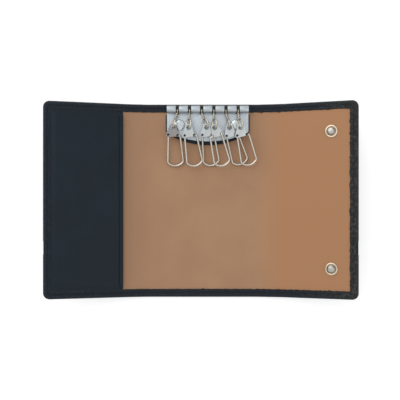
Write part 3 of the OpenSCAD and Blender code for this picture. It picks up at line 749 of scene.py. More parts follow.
def border_columns(shell, wing, outer, inner, width, on_end):
    """Lofts the border profile over matching outer and inner points; on_end is 1 at a free end."""
    profile = border_profile(width)
    s = sizes()
    bite = s.raw_edge_bite if wing.sign > 0 else s.raw_edge_bite * 0.3
    rows, marks = [[] for _ in profile], [[] for _ in profile]
    for (ox, oy), (ix, iy), end in zip(outer, inner, on_end):
        sunk = band_depth_at(oy) * end
        for k, (dist, z, wear) in enumerate(profile):
            inner_end = k == 0 or k == len(profile) - 1
            wave = s.raw_edge_wave * ripple(ox + ix, oy + iy, *WAVE) if k < 5 else 0.0
            wave += bite * ripple(ox + ix, oy + iy, *BITE) if k < 4 else 0.0
            d = dist if inner_end else dist + wave
            if sunk:
                d = CHANNEL + d * (width - CHANNEL) / width if dist < width else d
                if z < EDGE_R:
                    z = CHANNEL + z * (EDGE_R - CHANNEL) / EDGE_R
            t = d / width
            x, y = ox + (ix - ox) * t, oy + (iy - oy) * t
            lump = 0.0
            if z > EDGE_R and not inner_end:
                lump = 0.05 * ripple(x, y, *SWELL) + 0.04 * ripple(x, y, *PUCKER)
            rows[k].append((x, y, z + lump))
            marks[k].append(wear)
    shell.add_grid(rows, marks)


def fold_axes(wing):
    """Own axes of a wing: outward along it, up the case and off its lining."""
    tilt = 2 * wing.half_tilt
    out = Vector((wing.sign * math.cos(tilt), 0, math.sin(tilt)))
    off = Vector((-wing.sign * math.sin(tilt), 0, math.cos(tilt)))
    return out, Vector((0, 1, 0)), off


def snap_seats(wing):
    """Where a wing's two snaps stand: distance from its hinge, y of each, radius, and heights."""
    node = "snap_studs" if wing.sign > 0 else "snap_sockets"
    points = np.array([v.co for v in frame["nodes"][node].data.vertices], float) / MM
    out, _, off = fold_axes(wing)
    local = points - np.array(joint_point(wing.name + "_fold_outer"))
    reach, height = local @ np.array(out), local @ np.array(off) + PANEL_T
    radius = (reach.max() - reach.min()) / 2
    middle = (reach.max() + reach.min()) / 2
    ys = (points[:, 1].max() - radius, points[:, 1].min() + radius)
    return middle, ys, radius, height.min(), height.max()


# The left wing's leather sinks under each socket's cup: walls from its centre, and depth
PIT_WALLS = (-2.7, -2.05, 2.05, 2.7)
PIT_DEPTH = 0.85


def with_walls(places, centres):
    """Adds the walls of the pits to sample places, and drops the places beside them."""
    walls = sorted(c + d for c in centres for d in PIT_WALLS)
    return sorted([p for p in places if all(abs(p - w) > 0.3 for w in walls)] + walls)


def leather_floor(shell, xs, ys, pits=()):
    """The leather's outside face and the face under the lining, between the borders."""
    def depth(x, y):
        sunk = any(max(abs(x - px), abs(y - py)) < PIT_WALLS[2] + 0.05 for px, py in pits)
        return PIT_DEPTH if sunk else CHANNEL * band_depth_at(y)

    shell.add_grid([[(x, y, depth(x, y)) for y in ys] for x in xs])
    shell.add_grid([[(x, y, UNDER_LINING) for y in ys] for x in xs])


def straight_cover(wing, start, end):
    """Leather of the middle panel and half a fold strip: edges at top and bottom only."""
    shell, border = Shell(), sizes().border_w
    xs, ys = wing.along(start, end), across_places(border)
    inset = HALF_H - border
    for side in (1, -1):
        border_columns(shell, wing, [(x, side * HALF_H) for x in xs], [(x, side * inset) for x in xs],
                       border, [0] * len(xs))
    leather_floor(shell, xs, ys)
    return shell


def wing_cover(wing):
    """Leather of a wing: edges on three sides, with round outer corners."""
    shell, s = Shell(), sizes()
    border, r = s.border_w, s.corner_r
    spacing = 0.8 if wing.sign > 0 else 1.5
    start, end = wing.split, wing.end
    inset, inner_end = HALF_H - border, end - end_border(wing)
    share = (inner_end - start) / (end - r - start)
    inner_xs = [start + (x - start) * share for x in wing.along(start, end - r, spacing)]
    ys = across_places(border, spacing)
    pits = []
    if wing.sign < 0:
        middle, snap_ys = snap_seats(wing)[:2]
        pits = [(wing.fold + middle, y) for y in snap_ys]
        inner_xs, ys = with_walls(inner_xs, [wing.fold + middle]), with_walls(ys, snap_ys)
    xs = [start + (x - start) / share for x in inner_xs]
    outer, inner, on_end = [], [], []

    def add(outer_run, inner_run, at_end=0):
        outer.extend(outer_run)
        inner.extend(inner_run)
        on_end.extend([at_end] * len(outer_run))

    corner = arc_points((end - r, HALF_H - r), r, 90, 0, 9)[1:-1]
    spread, scale = 12, (HALF_H - r) / inset
    far = [float(smooth_step((abs(y) - inset + spread) / spread)) for y in ys]
    side = [(end, y * (1 + (scale - 1) * f)) for y, f in zip(ys, far)]
    add([(x, HALF_H) for x in xs], [(x, inset) for x in inner_xs])
    add(corner, [(inner_end, inset)] * len(corner))
    add(side[::-1], [(inner_end, y) for y in reversed(ys)], at_end=1)
    add([(x, -y) for x, y in reversed(corner)], [(inner_end, -inset)] * len(corner))
    add([(x, -HALF_H) for x in reversed(xs)], [(x, -inset) for x in reversed(inner_xs)])
    border_columns(shell, wing, outer, inner, border, on_end)
    leather_floor(shell, inner_xs, ys, pits)
    return shell


def closed_sheet(shell, top, low, marks=None):
    """Two equal grids of points, joined along all four sides."""
    shell.add_grid(top, marks)
    shell.add_grid(low)
    for side in (0, -1):
        shell.add_grid([top[side], low[side]])
        shell.add_grid([[row[side] for row in top], [row[side] for row in low]])


def thin_sheet(shell, xs, ys, top_at, bottom_at):
    """Closed sheet between two height functions of (x, y)."""
    top, low = ([[(x, y, height(x, y)) for y in ys] for x in xs] for height in (top_at, bottom_at))
    closed_sheet(shell, top, low)


def bend_with(piece, wing, at):
    """Bakes a leather piece's placing into its mesh; the points either side of the fold at that distance are
    worked out but not used.
    """
    reach = 2.2
    start = Vector(wing.place([(at - reach, 0, PANEL_T)])[0]) * MM
    end = Vector(wing.place([(at + reach, 0, PANEL_T)])[0]) * MM
    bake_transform(piece)


def both_wings():
    return [Wing("left", -1), Wing("right", 1)]


def leather_parts(wing):
    """A leather layer's two pieces on one side: label, start, end, fold, inner body and outer body."""
    side = wing.name
    return [("middle_" + side, 0.0, wing.split, HALF_MIDDLE, "middle_panel", side + "_strip"),
            (side + "_wing", wing.split, wing.end, wing.fold, side + "_strip", side + "_wing")]


def layer_nodes(wing, label, layer):
    """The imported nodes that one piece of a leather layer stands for."""
    panel = label if label.endswith("wing") else "middle"
    return f"{panel}_{layer}", f"{wing.name}_strip_{layer}"


def dress(piece, slot, *nodes):
    if nodes:
        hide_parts(*nodes)


class KEYCASE_OT_cover(Operator):
    """Grained outer leather with its turned, creased edges"""
    bl_idname = "key_case.cover"
    bl_label = "Outer leather"

    def execute(self, context):
        for wing in both_wings():
            for label, start, end, fold, inner_body, outer_body in leather_parts(wing):
                is_wing = label.endswith("wing")
                shell = wing_cover(wing) if is_wing else straight_cover(wing, start, end)
                piece = shell.build("cover_" + label, finish("grained"), wing.place)
                bend_with(piece, wing, fold)
                dress(piece, "black_leather", *layer_nodes(wing, label, "cover"))
        return {"FINISHED"}


class KEYCASE_OT_lining(Operator):
    """Tan lining leather laid between the turned edges"""
    bl_idname = "key_case.lining"
    bl_label = "Lining"

    def execute(self, context):
        s = sizes()
        tuck = 0.7
        for wing in both_wings():
            half = HALF_H - s.border_w + tuck
            for label, start, end, fold, inner_body, outer_body in leather_parts(wing):
                last = end - end_border(wing) + tuck if label.endswith("wing") else end
                xs, ys = wing.along(start, last), list(np.linspace(-half, half, 60))

                def top_at(x, y):
                    soft = 0.035 * ripple(wing.sign * x, y, 9.0, 5.5)
                    near = sum(math.exp(-((x - at) / 2.2) ** 2) for at in (HALF_MIDDLE, wing.fold))
                    return LINING_TOP + soft + 0.10 * near * ripple(x * 2.2, y, 6.5, 2.5 * wing.sign)

                shell = Shell()
                thin_sheet(shell, xs, ys, top_at, lambda x, y: LINING_TOP - 0.15)
                piece = shell.build("lining_" + label, finish("lining"), wing.place)
                bend_with(piece, wing, fold)
                dress(piece, "tan_lining", *layer_nodes(wing, label, "lining"))
        return {"FINISHED"}


class KEYCASE_OT_band(Operator):
    """Smooth band let into the outside and wrapped round both free edges"""
    bl_idname = "key_case.band"
    bl_label = "Outer band"

    def execute(self, context):
        low, high = BAND_LOW.z, BAND_HIGH.z
        clearance, crown_rise = 0.04, 0.018
        half = (BAND_HIGH.y - BAND_LOW.y) / 2 - clearance
        middle = (BAND_HIGH.y + BAND_LOW.y) / 2
        ys = [middle + half * t for t in np.linspace(-1, 1, 11)]
        for wing in both_wings():
            for label, start, end, fold, inner_body, outer_body in leather_parts(wing):
                is_wing = label.endswith("wing")
                line = [(x, low, x, high) for x in wing.along(start, end - EDGE_R if is_wing else end)]
                if is_wing:
                    for a in range(-80, 66, 12):
                        turn = math.radians(a)
                        pair = []
                        for r in (EDGE_R - low, EDGE_R - high):
                            pair += [end - EDGE_R + r * math.cos(turn), EDGE_R + r * math.sin(turn)]
                        line.append(tuple(pair))
                shell, outside, inside = Shell(), [], []
                crown = [crown_rise * (1 - ((y - middle) / half) ** 8) for y in ys]
                for x0, z0, x1, z1 in line:
                    outside.append([(x0 + (x0 - x1) * c, y, z0 + (z0 - z1) * c) for y, c in zip(ys, crown)])
                    inside.append([(x1, y, z1) for y in ys])
                edge_wear = [[0.6 if i in (0, len(ys) - 1) else 0.0 for i in range(len(ys))]] * len(line)
                closed_sheet(shell, outside, inside, edge_wear)
                piece = shell.build("band_" + label, finish("smooth"), wing.place)
                bend_with(piece, wing, fold)
                dress(piece, "smooth_leather", *layer_nodes(wing, label, "band"))
        return {"FINISHED"}


class KEYCASE_OT_pocket(Operator):
    """Slip pocket on the left wing with a folded hem at its mouth"""
    bl_idname = "key_case.pocket"
    bl_label = "Slip pocket"

    def execute(self, context):
        s = sizes()
        wing = both_wings()[0]
        tuck = 0.5
        mouth = wing.fold + s.pocket_mouth
        end = wing.end - s.left_border_w + tuck
        half = HALF_H - s.border_w + tuck
        full = LINING_TOP + s.pocket_gap + s.pocket_t
        hem = s.pocket_hem_w
        lip_r, hem_rise, groove_deep = 0.45, 0.3, 0.12

        def edge_ease(x, y):
            """0 where the pocket is glued down, 1 where it stands off the lining."""
            near = min(end - x, half - abs(y))
            return smooth_step((near - 0.3) / 3.2)

        def top_at(x, y):
            t = x - mouth
            ease = edge_ease(x, y)
            z = PANEL_T - 0.1 + (full - PANEL_T + 0.1) * ease
            z += 0.09 * ripple(x, y, 17.0, 4.4) * ease + 0.02 * ripple(x, y, 5.0, 6.4)
            lip = math.sqrt(max(0.0, 1 - (max(0.0, lip_r - t) / lip_r) ** 2))
            over = hem_rise * (1 - smooth_step((t - hem + 0.12) / 0.2)) * ease
            groove = groove_deep * math.exp(-((t - hem - 0.12) / 0.14) ** 2)
            under = full - s.pocket_t
            if t < lip_r:
                return under + (z + over - groove - under) * (0.5 + 0.5 * lip)
            return z + over - groove

        def low_at(x, y):
            under = top_at(max(x, mouth + 0.6), y) - s.pocket_t
            return max(LINING_TOP + 0.03, under - hem_rise if x - mouth < hem else under)

        xs = [mouth + t for t in (0, 0.03, 0.1, 0.2, 0.32, lip_r, 0.7, 1.0, 1.3, 1.6)]
        xs += [mouth + hem + t for t in (-0.2, -0.1, -0.04, 0.02, 0.1, 0.2, 0.32, 0.5)]
        xs += [x for x in np.arange(mouth + 3.2, end - 3.4, 1.4)] + list(np.linspace(end - 3.2, end, 9))
        ys = list(np.linspace(-half, -half + 4, 10))[:-1] + list(np.linspace(-half + 4, half - 4, 60))
        ys += list(np.linspace(half - 4, half, 10))[1:]
        shell = Shell()
        thin_sheet(shell, xs, ys, top_at, low_at)
        shell.marks = [0.7 if p[0] < mouth + 0.3 else 0.0 for p in shell.points]
        piece = shell.build("pocket", finish("smooth"), wing.place, sharp=60)
        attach(piece, "left_wing")
        dress(piece, "smooth_leather", "pocket_panel")
        return {"FINISHED"}


def plate_outline(width, top, bottom, sag, corner, count=40):
    """Straight sides and top with a shallow arc below, drawn anticlockwise from the lower left."""
    radius = (width * width / 4 + sag * sag) / (2 * sag)
    span = math.degrees(math.asin(width / 2 / radius))
    arc = arc_points((0, bottom + radius), radius, 270 - span, 270 + span, count)
    start, end = arc[0], arc[-1]
    body = [(start[0], start[1] + corner * 0.9), (start[0] + corner * 0.22, start[1] + corner * 0.28)]
    body += [p for p in arc if abs(p[0]) < width / 2 - corner]
    body += [(end[0] - corner * 0.22, end[1] + corner * 0.28), (end[0], end[1] + corner * 0.9)]
    return body + [(width / 2, top), (-width / 2, top)]


# Degrees by which the plate's tongues are rolled round the rod
ROLL_TURN = 298


class KEYCASE_OT_key_plate(Operator):
    """Metal key plate rolled into knuckles round its rod, and the dark patch below it"""
    bl_idname = "key_case.key_plate"
    bl_label = "Key plate"

    def execute(self, context):
        s = sizes()
        t = s.plate_sheet_t
        width = PLATE_HIGH.x - PLATE_LOW.x
        centre_x = (PLATE_HIGH.x + PLATE_LOW.x) / 2
        roll_r = ROD.z - PLATE_LOW.z - t / 2
        pitch = joint_point("hanger_swing_2").x - joint_point("hanger_swing_1").x
        knuckle = pitch - s.knuckle_gap
        slot = PLATE_HIGH.y - ROD.y + 0.4
        bottom = PLATE_LOW.y - ROD.y
        outline = plate_outline(width, -slot, bottom, sag=4.6, corner=0.5)[:-2]
        tip = roll_r * math.radians(ROLL_TURN)
        r = 0.35
        for k in range(HOOK_COUNT, -1, -1):
            left = -width / 2 + k * pitch
            right = left + knuckle
            outline += [(right, -slot), (right, tip - r), (right - r * 0.3, tip - r * 0.3), (right - r, tip)]
            outline += [(left + r, tip), (left + r * 0.3, tip - r * 0.3), (left, tip - r), (left, -slot)]
        outline = [p for i, p in enumerate(outline) if i == 0 or math.dist(p, outline[i - 1]) > 1e-4]

        def curl(x, y, z):
            if y <= 0:
                return (centre_x + x, ROD.y + y, PLATE_LOW.z + t / 2 + z)
            turn = y / roll_r
            reach = roll_r - z
            return (centre_x + x, ROD.y + reach * math.sin(turn), ROD.z - reach * math.cos(turn))

        cuts = [(0, roll_r * math.radians(a)) for a in range(0, ROLL_TURN, 10)]
        piece = stamped_sheet("key_plate_sheet", outline, [], t, bevel=0.13, to_world=curl,
                              material=finish("plate"), cuts=cuts)
        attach(piece, "middle_panel")
        dress(piece, "plate_metal", "key_plate")

        low, high = node_box("plate_backing")
        patch = plate_outline(high.x - low.x, high.y - ROD.y, low.y - ROD.y, sag=6.4, corner=0.9)
        middle = (low.z + high.z) / 2
        piece = stamped_sheet("plate_patch", patch, [], high.z - low.z, bevel=0.28,
                              to_world=lambda x, y, z: (centre_x + x, ROD.y + y, middle + z),
                              material=finish("smooth"))
        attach(piece, "middle_panel")
        dress(piece, "smooth_leather", "plate_backing")
        return {"FINISHED"}


# Sides of a turned piece of metal
ROUND = 56


class KEYCASE_OT_rivets(Operator):
    """Two round-headed rivets that hold the key plate"""
    bl_idname = "key_case.rivets"
    bl_label = "Rivets"

    def execute(self, context):
        low, high = node_box("plate_rivets")
        top = node_box("key_plate")[0].z + sizes().plate_sheet_t
        radius = (high.y - low.y) / 2
        head = high.z - top
        shank = radius * 0.45
        shell = Shell()
        for x in (low.x + radius, high.x - radius):
            profile = [(shank, top - 0.8), (shank, top + 0.01), (radius - 0.12, top + 0.01),
                       (radius - 0.03, top + 0.05), (radius, top + 0.12), (radius - 0.03, top + 0.2)]
            for a in np.linspace(0.09, 1.0, 14):
                turn = a * math.pi / 2
                rise = (head - 0.13) * math.sin(turn) ** 0.9
                profile.append((radius * math.cos(turn) * 0.985, top + 0.13 + rise))
            profile[-1] = (0.02, top + head)
            spin(shell, profile, (x, (low.y + high.y) / 2, 0), ((1, 0, 0), (0, 1, 0), (0, 0, 1)), ROUND)
        piece = shell.build("rivet_heads", finish("post"), sharp=45)
        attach(piece, "middle_panel")
        dress(piece, "plate_metal", "plate_rivets")
        return {"FINISHED"}


# Degrees by which each link's lower ring is turned about its neck
LINK_TWISTS = (12, 40, 46, 34, 12, 42)
# A link's neck: turns of its two strands, samples along them, and their radius
NECK_TURNS, NECK_STEPS, STRAND_R = 1.6, 48, 0.34


class KEYCASE_OT_links(Operator):
    """Twisted wire links with a ring round the rod and a ring through each hook's eye"""
    bl_idname = "key_case.links"
    bl_label = "Links"

    def execute(self, context):
        s = sizes()
        for i in range(1, HOOK_COUNT + 1):
            rod, eye = joint_point(f"hanger_swing_{i}"), joint_point(f"hook_sway_{i}")
            up = (rod - eye).normalized()
            lean = math.atan2(eye.x - rod.x, rod.y - eye.y)
            across = Vector((math.cos(lean), math.sin(lean), 0))
            facing = up.cross(across).normalized()
            twist = math.radians(LINK_TWISTS[i - 1])
            axis = across * math.cos(twist) + facing * math.sin(twist)
            side = axis.cross(up).normalized()
            shell = Shell()
            top_ring = [rod + s.link_top_r * Vector((0, math.cos(a), math.sin(a)))
                        for a in np.linspace(0, 2 * math.pi, 36, endpoint=False)]
            add_tube(shell, top_ring, s.link_wire_d / 2, closed=True)
            # Painted shade: the part of the top ring inside the knuckle is marked to be painted near black
            shell.marks = [float(smooth_step((p[1] - rod.y + 1.1) / 0.8)) for p in shell.points]
            tall = s.link_eye_r + s.link_draw / 2
            centre = eye + up * tall
            ring = [centre + tall * math.cos(a) * up + s.link_eye_r * math.sin(a) * side
                    for a in np.linspace(0, 2 * math.pi, 40, endpoint=False)]
            add_tube(shell, ring, s.link_wire_d / 2, closed=True)
            front = Vector((0, eye.y - rod.y, eye.z - rod.z)).normalized()
            first = rod + front * (s.link_top_r + 0.05)
            last = eye + up * (2 * tall - 0.05)
            along = (last - first).normalized()
            u = along.cross(Vector((0, 0, 1))).normalized()
            v = along.cross(u)
            length = (last - first).length
            for phase in (0.0, math.pi):
                # Each strand winds round the neck, and draws in where it joins a ring
                strand = []
                for k in range(NECK_STEPS + 1):
                    share = k / NECK_STEPS
                    turn = phase + share * math.pi * 2 * NECK_TURNS
                    pull = 0.26 * min(1.0, share * 5, (1 - share) * 5) + 0.05
                    off = pull * (math.cos(turn) * u + math.sin(turn) * v)
                    strand.append(first + along * length * share + off)
                add_tube(shell, strand, STRAND_R, around=10)
            piece = shell.build(f"link_wire_{i}", finish("link"), sharp=60)
            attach(piece, f"hanger_{i}")
            dress(piece, "link_metal", f"link_{i}")
        return {"FINISHED"}


# On a hook plate, from its eye: the hole that its loop turns in, and the open catch
PIVOT, CATCH = (-2.72013, -3.6), (2.15, -4.15)


def hook_axes(i):
    """Centre of a hook's eye and the hook plate's own axes, x across, y up and z off its face."""
    eye, pivot = joint_point(f"hook_sway_{i}"), joint_point(f"loop_open_{i}")
    normal = Vector(JOINTS[f"hook_sway_{i}"]["axis"]).normalized()
    best = None
    for z in (normal, -normal):
        e = pivot - eye
        e -= z * e.dot(z)
        turned = z.cross(e)
        size = PIVOT[0] ** 2 + PIVOT[1] ** 2
        x = (PIVOT[0] * e - PIVOT[1] * turned) / size
        y = (PIVOT[1] * e + PIVOT[0] * turned) / size
        if best is None or y.y > best[2].y:
            best = (eye, x.normalized(), y.normalized(), z)
    return best


def hook_blank():
    """Outline of a hook plate with its eye, its pivot hole and its open catch."""
    corner = (CATCH[0] - 0.8, CATCH[1] + 0.4)
    eye_r, pivot_r, catch_r, least_step = 1.3, 0.66, 0.65, 0.14
    rim = []
    for centre, radius in (((0, 0), 1.9), (PIVOT, 1.15), (corner, 1.0)):
        rim += arc_points(centre, radius, 0, 357, 120)
    hull = [rim[k] for k in geometry.convex_hull_2d([Vector(p) for p in rim])]
    if sum(a[0] * b[1] - b[0] * a[1] for a, b in zip(hull, hull[1:] + hull[:1])) < 0:
        hull.reverse()
    dense = []
    for a, b in zip(hull, hull[1:] + hull[:1]):
        parts = max(1, int(math.dist(a, b) / 0.08))
        dense += [(a[0] + (b[0] - a[0]) * k / parts, a[1] + (b[1] - a[1]) * k / parts) for k in range(parts)]

    def cut(p):
        return math.dist(p, CATCH) < catch_r or (p[0] > CATCH[0] - catch_r and p[1] < CATCH[1])

    count = len(dense)
    first = next(k for k in range(count) if cut(dense[k]) and not cut(dense[k - 1]))
    kept = [dense[(first + k) % count] for k in range(count) if not cut(dense[(first + k) % count])]
    gap_end = kept[0]
    last_angle = math.degrees(math.atan2(gap_end[1] - CATCH[1], gap_end[0] - CATCH[0]))
    notch = [(CATCH[0] - catch_r, kept[-1][1] + 0.12)]
    notch += arc_points(CATCH, catch_r, 180, last_angle, 14)[:-1]
    outline = []
    for p in kept + notch:
        if not outline or math.dist(p, outline[-1]) > least_step:
            outline.append(p)
    holes = [arc_points((0, 0), eye_r, 0, 348, 30), arc_points(PIVOT, pivot_r, 0, 342, 20)]
    return outline, holes


class KEYCASE_OT_hook_plates(Operator):
    """Stamped plates that carry the wire loops"""
    bl_idname = "key_case.hook_plates"
    bl_label = "Hook plates"

    def execute(self, context):
        outline, holes = hook_blank()
        for i in range(1, HOOK_COUNT + 1):
            eye, ax, ay, az = hook_axes(i)
            # The first hook plate takes the painted dark reflection
            piece = stamped_sheet(f"hook_stamping_{i}", outline, holes, sizes().hook_t, bevel=0.11,
                                  to_world=lambda x, y, z: eye + ax * x + ay * y + az * z,
                                  material=finish("dark_reflection" if i == 1 else "hook"))
            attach(piece, f"hook_{i}")
            dress(piece, "hook_metal", f"hook_plate_{i}")
        return {"FINISHED"}


def rounded_line(points, radius, steps=6):
    """Straight runs with each inner corner turned by an arc of that radius."""
    points = [Vector(p) for p in points]
    out = [points[0]]
    for before, at, after in zip(points, points[1:], points[2:]):
        a, b = (before - at).normalized(), (after - at).normalized()
        half = a.angle(b) / 2
        back = radius / math.tan(half)
        centre = at + (a + b).normalized() * (radius / math.sin(half))
        p, q = at + a * back - centre, at + b * back - centre
        for t in np.linspace(0, 1, steps):
            out.append(centre + p.slerp(q, t))
    return out + [points[-1]]


# A loop in its hook plate's own axes: lean of its legs in degrees, its lower corners and its round end
LEG_LEAN, CORNER_TURN = 5.3, 225.827
LOOP_CORNER, CORNER_R = (-2.3692, -17.1386), 1.6
END_CENTRE, END_R = (0, -14.7), 5.0
LEG_END, LEG_TOP = (-3.96236, -16.9908), (2.85, -5.0)


class KEYCASE_OT_wire_loops(Operator):
    """Spring wire loops whose ends turn into the hook plates"""
    bl_idname = "key_case.wire_loops"
    bl_label = "Wire loops"

    def execute(self, context):
        s = sizes()
        below = -(s.hook_t / 2 + 0.05 + s.loop_wire_d / 2)
        arcs = arc_points(LOOP_CORNER, CORNER_R, 180 - LEG_LEAN, CORNER_TURN, 9)
        arcs += arc_points(END_CENTRE, END_R, CORNER_TURN, 540 - CORNER_TURN, 19)[1:]
        far_corner = (-LOOP_CORNER[0], LOOP_CORNER[1])
        arcs += arc_points(far_corner, CORNER_R, 540 - CORNER_TURN, 360 + LEG_LEAN, 9)[1:]
        pin_top = 0.02
        left = [(*PIVOT, pin_top), (*PIVOT, below), (*LEG_END, below)]
        left = rounded_line(left, radius=0.55)[:-1]
        right = [(*arcs[-1], below), (*LEG_TOP, below), (*CATCH, below), (*CATCH, pin_top)]
        right = rounded_line(right, radius=0.5)[1:]
        flat = left + [Vector((x, y, below)) for x, y in arcs] + right
        path = [flat[0]]
        for a, b in zip(flat, flat[1:]):
            parts = max(1, int((b - a).length / 0.9))
            path += [a.lerp(b, (k + 1) / parts) for k in range(parts) if (b - a).length > 1e-4]
        for i in range(1, HOOK_COUNT + 1):
            eye, ax, ay, az = hook_axes(i)
            shell = Shell()
            line = [eye + ax * p.x + ay * p.y + az * p.z for p in path]
            add_tube(shell, line, s.loop_wire_d / 2, around=16)
            # Painted shade: the wire's ends in the plate's holes are marked to be painted near black
            shell.marks = [float((Vector(p) - eye).dot(az) > -0.2) for p in shell.points]
            piece = shell.build(f"loop_wire_{i}", finish("wire"), sharp=60)
            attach(piece, f"loop_{i}")
            dress(piece, "wire_metal", f"wire_loop_{i}")
        return {"FINISHED"}


class KEYCASE_OT_snaps(Operator):
    """Snap studs on the right wing and their sockets on the outside of the left wing"""
    bl_idname = "key_case.snaps"
    bl_label = "Snaps"

    def execute(self, context):
        for wing in both_wings():
            side, body = wing.sign, wing.name + "_wing"
            node = "snap_studs" if side > 0 else "snap_sockets"
            axes = out, up, off = fold_axes(wing)
            hinge = joint_point(wing.name + "_fold_outer")
            middle, snap_ys, radius, z, top = snap_seats(wing)
            rims, posts = Shell(), Shell()
            for y in snap_ys:
                base = hinge + out * middle + up * (y - hinge.y) - off * PANEL_T
                if side > 0:
                    # Round rim, then down into the hollow round the post, whose last rings take painted
                    # shade
                    ring = [(radius - 1.2, z - 0.05), (radius - 0.9, z + 0.06)]
                    ring += [(radius - 0.52 + 0.52 * math.cos(a), z + 0.28 + 0.27 * math.sin(a))
                             for a in np.linspace(-math.pi / 2, math.pi, 15)]
                    ring += [(radius - 1.1, z + 0.22), (1.95, z + 0.26), (1.75, z + 0.38), (1.5, z + 0.6)]
                    spin(rims, ring, base, axes, ROUND)
                    dim = [float(k > len(ring) - 5) for k in range(len(ring)) for _ in range(ROUND)]
                    rims.marks[-len(dim):] = dim
                    # Post with a neck below its round head
                    post = [(1.35, z + 0.3), (1.35, z + 0.95), (1.42, z + 1.05), (1.6, z + 1.2),
                            (1.64, z + 1.34), (1.58, z + 1.5)]
                    post += [(1.52 * math.cos(a), z + 1.52 + (top - z - 1.52) * math.sin(a))
                             for a in np.linspace(0.2, math.pi / 2 - 0.02, 8)]
                    spin(posts, post, base, axes, 48)
                else:
                    # From inside the leather round the cup's rim and down to its floor
                    ring = [(2.2, 0.9), (radius - 0.6, 0.2), (radius - 0.2, 0.02)]
                    ring += [(radius - 0.3 + 0.3 * math.cos(a), z + 0.3 - 0.3 * math.sin(a))
                             for a in np.linspace(0, math.pi / 2, 7)]
                    ring += [(2.5, z + 0.02), (2.15, z + 0.06), (2.02, z + 0.22), (2.0, 0.3), (1.9, 0.75),
                             (0.02, 0.8)]
                    spin(rims, ring, base, axes, ROUND)
            piece = rims.build(node + "_rims", finish("snap"), close=False, sharp=50)
            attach(piece, body)
            dress(piece, "snap_metal", node)
            if side > 0:
                piece = posts.build("snap_stud_posts", finish("stud"), close=False, sharp=50)
                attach(piece, body)
                dress(piece, "snap_metal")
        return {"FINISHED"}


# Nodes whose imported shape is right, and the finish of each
KEPT_NODES = {
    "middle_board": "board", "left_wing_board": "board", "right_wing_board": "board",
    "key_rod": "rod", "rivet_washers": "post", "stud_posts": "post", "socket_posts": "post",
}


class KEYCASE_OT_kept_nodes(Operator):
    """Finishes of the rod, the boards and the hidden fixings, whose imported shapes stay"""
    bl_idname = "key_case.kept_nodes"
    bl_label = "Rod, boards and fixings"

    def execute(self, context):
        for name, kind in KEPT_NODES.items():
            mesh = frame["nodes"][name].data
            mesh.materials.clear()
            mesh.materials.append(finish(kind))
        return {"FINISHED"}


# Floor: radius in metres, grey and glow, and the brightness of the surroundings
FLOOR_R, FLOOR_GREY, FLOOR_GLOW, SKY = 1.6, 0.7, 0.55, 0.66
# Lamps: name, place and size in metres, power in watts
LAMPS = (("key light", (-0.45, 0.5, 0.5), 0.9, 3.0), ("fill light", (0.5, -0.35, 0.55), 1.1, 1.0))
# Camera: focal length and sensor width in millimetres, shift in shares of the view, place in metres
LENS, SENSOR, SHIFT, CAMERA_AT = 69.23, 36.0, (-0.005, 0.05), (-0.000312, -0.00998, 0.4)


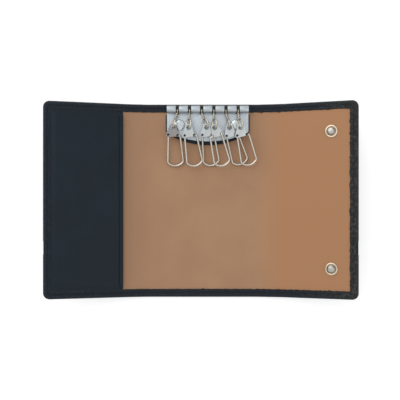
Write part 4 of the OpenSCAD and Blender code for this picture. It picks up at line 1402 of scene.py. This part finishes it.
class KEYCASE_OT_stage(Operator):
    """Pale floor, soft light and the camera straight above"""
    bl_idname = "key_case.stage"
    bl_label = "Stage"

    def execute(self, context):
        scene = context.scene
        material, tree, shader = start_material("pale floor", 0.9)
        shader.inputs["Base Color"].default_value = (FLOOR_GREY, FLOOR_GREY, FLOOR_GREY, 1)
        shader.inputs["Emission Color"].default_value = (1, 1, 1, 1)
        path = tree.nodes.new("ShaderNodeLightPath")
        seen = math_node(tree, "MAXIMUM", path.outputs["Is Camera Ray"], path.outputs["Is Glossy Ray"])
        seen = math_node(tree, "MAXIMUM", seen, path.outputs["Is Transmission Ray"])
        tree.links.new(math_node(tree, "MULTIPLY", seen, FLOOR_GLOW), shader.inputs["Emission Strength"])
        mesh = bpy.data.meshes.new("floor")
        rim = [(x, y, -0.0002) for x, y in arc_points((0, 0), FLOOR_R, 0, 354.375, 64)]
        mesh.from_pydata(rim, [], [tuple(range(64))])
        mesh.materials.append(material)
        floor = bpy.data.objects.new("floor", mesh)
        scene.collection.objects.link(floor)

        world = bpy.data.worlds.new("studio")
        world.use_nodes = True
        tree = world.node_tree
        ground = tree.nodes["Background"]
        path = tree.nodes.new("ShaderNodeLightPath")
        seen = math_node(tree, "MAXIMUM", path.outputs["Is Camera Ray"], path.outputs["Is Transmission Ray"])
        toward = tree.nodes.new("ShaderNodeTexCoord").outputs["Generated"]
        height = node_in(tree, "ShaderNodeSeparateXYZ", {0: toward}).outputs[2]
        tent = node_in(tree, "ShaderNodeMapRange", {0: height, 1: 0.0, 2: 0.7, 3: 0.18, 4: 1.0}).outputs[0]
        mirrored = math_node(tree, "MULTIPLY", path.outputs["Is Glossy Ray"], tent)
        shown = math_node(tree, "MAXIMUM", seen, mirrored)
        ground.inputs["Color"].default_value = (1, 1, 1, 1)
        tree.links.new(math_node(tree, "MAXIMUM", shown, SKY), ground.inputs["Strength"])
        scene.world = world

        for name, place, size, power in LAMPS:
            lamp = bpy.data.lights.new(name, "AREA")
            lamp.shape = "DISK"
            lamp.size, lamp.energy = size, power
            item = bpy.data.objects.new(name, lamp)
            item.location = place
            item.rotation_euler = (-Vector(place)).to_track_quat("-Z", "Y").to_euler()
            scene.collection.objects.link(item)

        lens = bpy.data.cameras.new("camera")
        lens.lens, lens.sensor_width = LENS, SENSOR
        lens.shift_x, lens.shift_y = SHIFT
        lens.clip_start, lens.clip_end = 0.01, 10.0
        camera = bpy.data.objects.new("camera", lens)
        camera.location = CAMERA_AT
        scene.collection.objects.link(camera)
        scene.camera = camera
        scene.view_settings.view_transform = "Standard"
        return {"FINISHED"}


PIECES = (
    KEYCASE_OT_cover, KEYCASE_OT_lining, KEYCASE_OT_band, KEYCASE_OT_pocket, KEYCASE_OT_key_plate,
    KEYCASE_OT_rivets, KEYCASE_OT_links, KEYCASE_OT_hook_plates, KEYCASE_OT_wire_loops,
    KEYCASE_OT_snaps, KEYCASE_OT_kept_nodes, KEYCASE_OT_stage,
)


class KEYCASE_PT_sidebar(Panel):
    """Lists the key case's pieces, sizes and colours"""
    bl_label = "Key case"
    bl_idname = "KEYCASE_PT_sidebar"
    bl_space_type = "VIEW_3D"
    bl_region_type = "UI"
    bl_category = "Key case"

    def draw(self, context):
        for group in (context.scene.key_case_sizes, context.scene.key_case_colours):
            box = self.layout.box()
            for name in group.__annotations__:
                box.prop(group, name)
        for piece in PIECES:
            self.layout.operator(piece.bl_idname)


CLASSES = (KeyCaseSizes, KeyCaseColours) + PIECES + (KEYCASE_PT_sidebar,)


def register():
    for item in CLASSES:
        bpy.utils.register_class(item)
    bpy.types.Scene.key_case_sizes = PointerProperty(type=KeyCaseSizes)
    bpy.types.Scene.key_case_colours = PointerProperty(type=KeyCaseColours)


def unregister():
    del bpy.types.Scene.key_case_colours
    del bpy.types.Scene.key_case_sizes
    for item in reversed(CLASSES):
        bpy.utils.unregister_class(item)


def main():
    register()
    for piece in PIECES:
        group, name = piece.bl_idname.split(".")
        getattr(getattr(bpy.ops, group), name)()


if __name__ == "__main__":
    main()
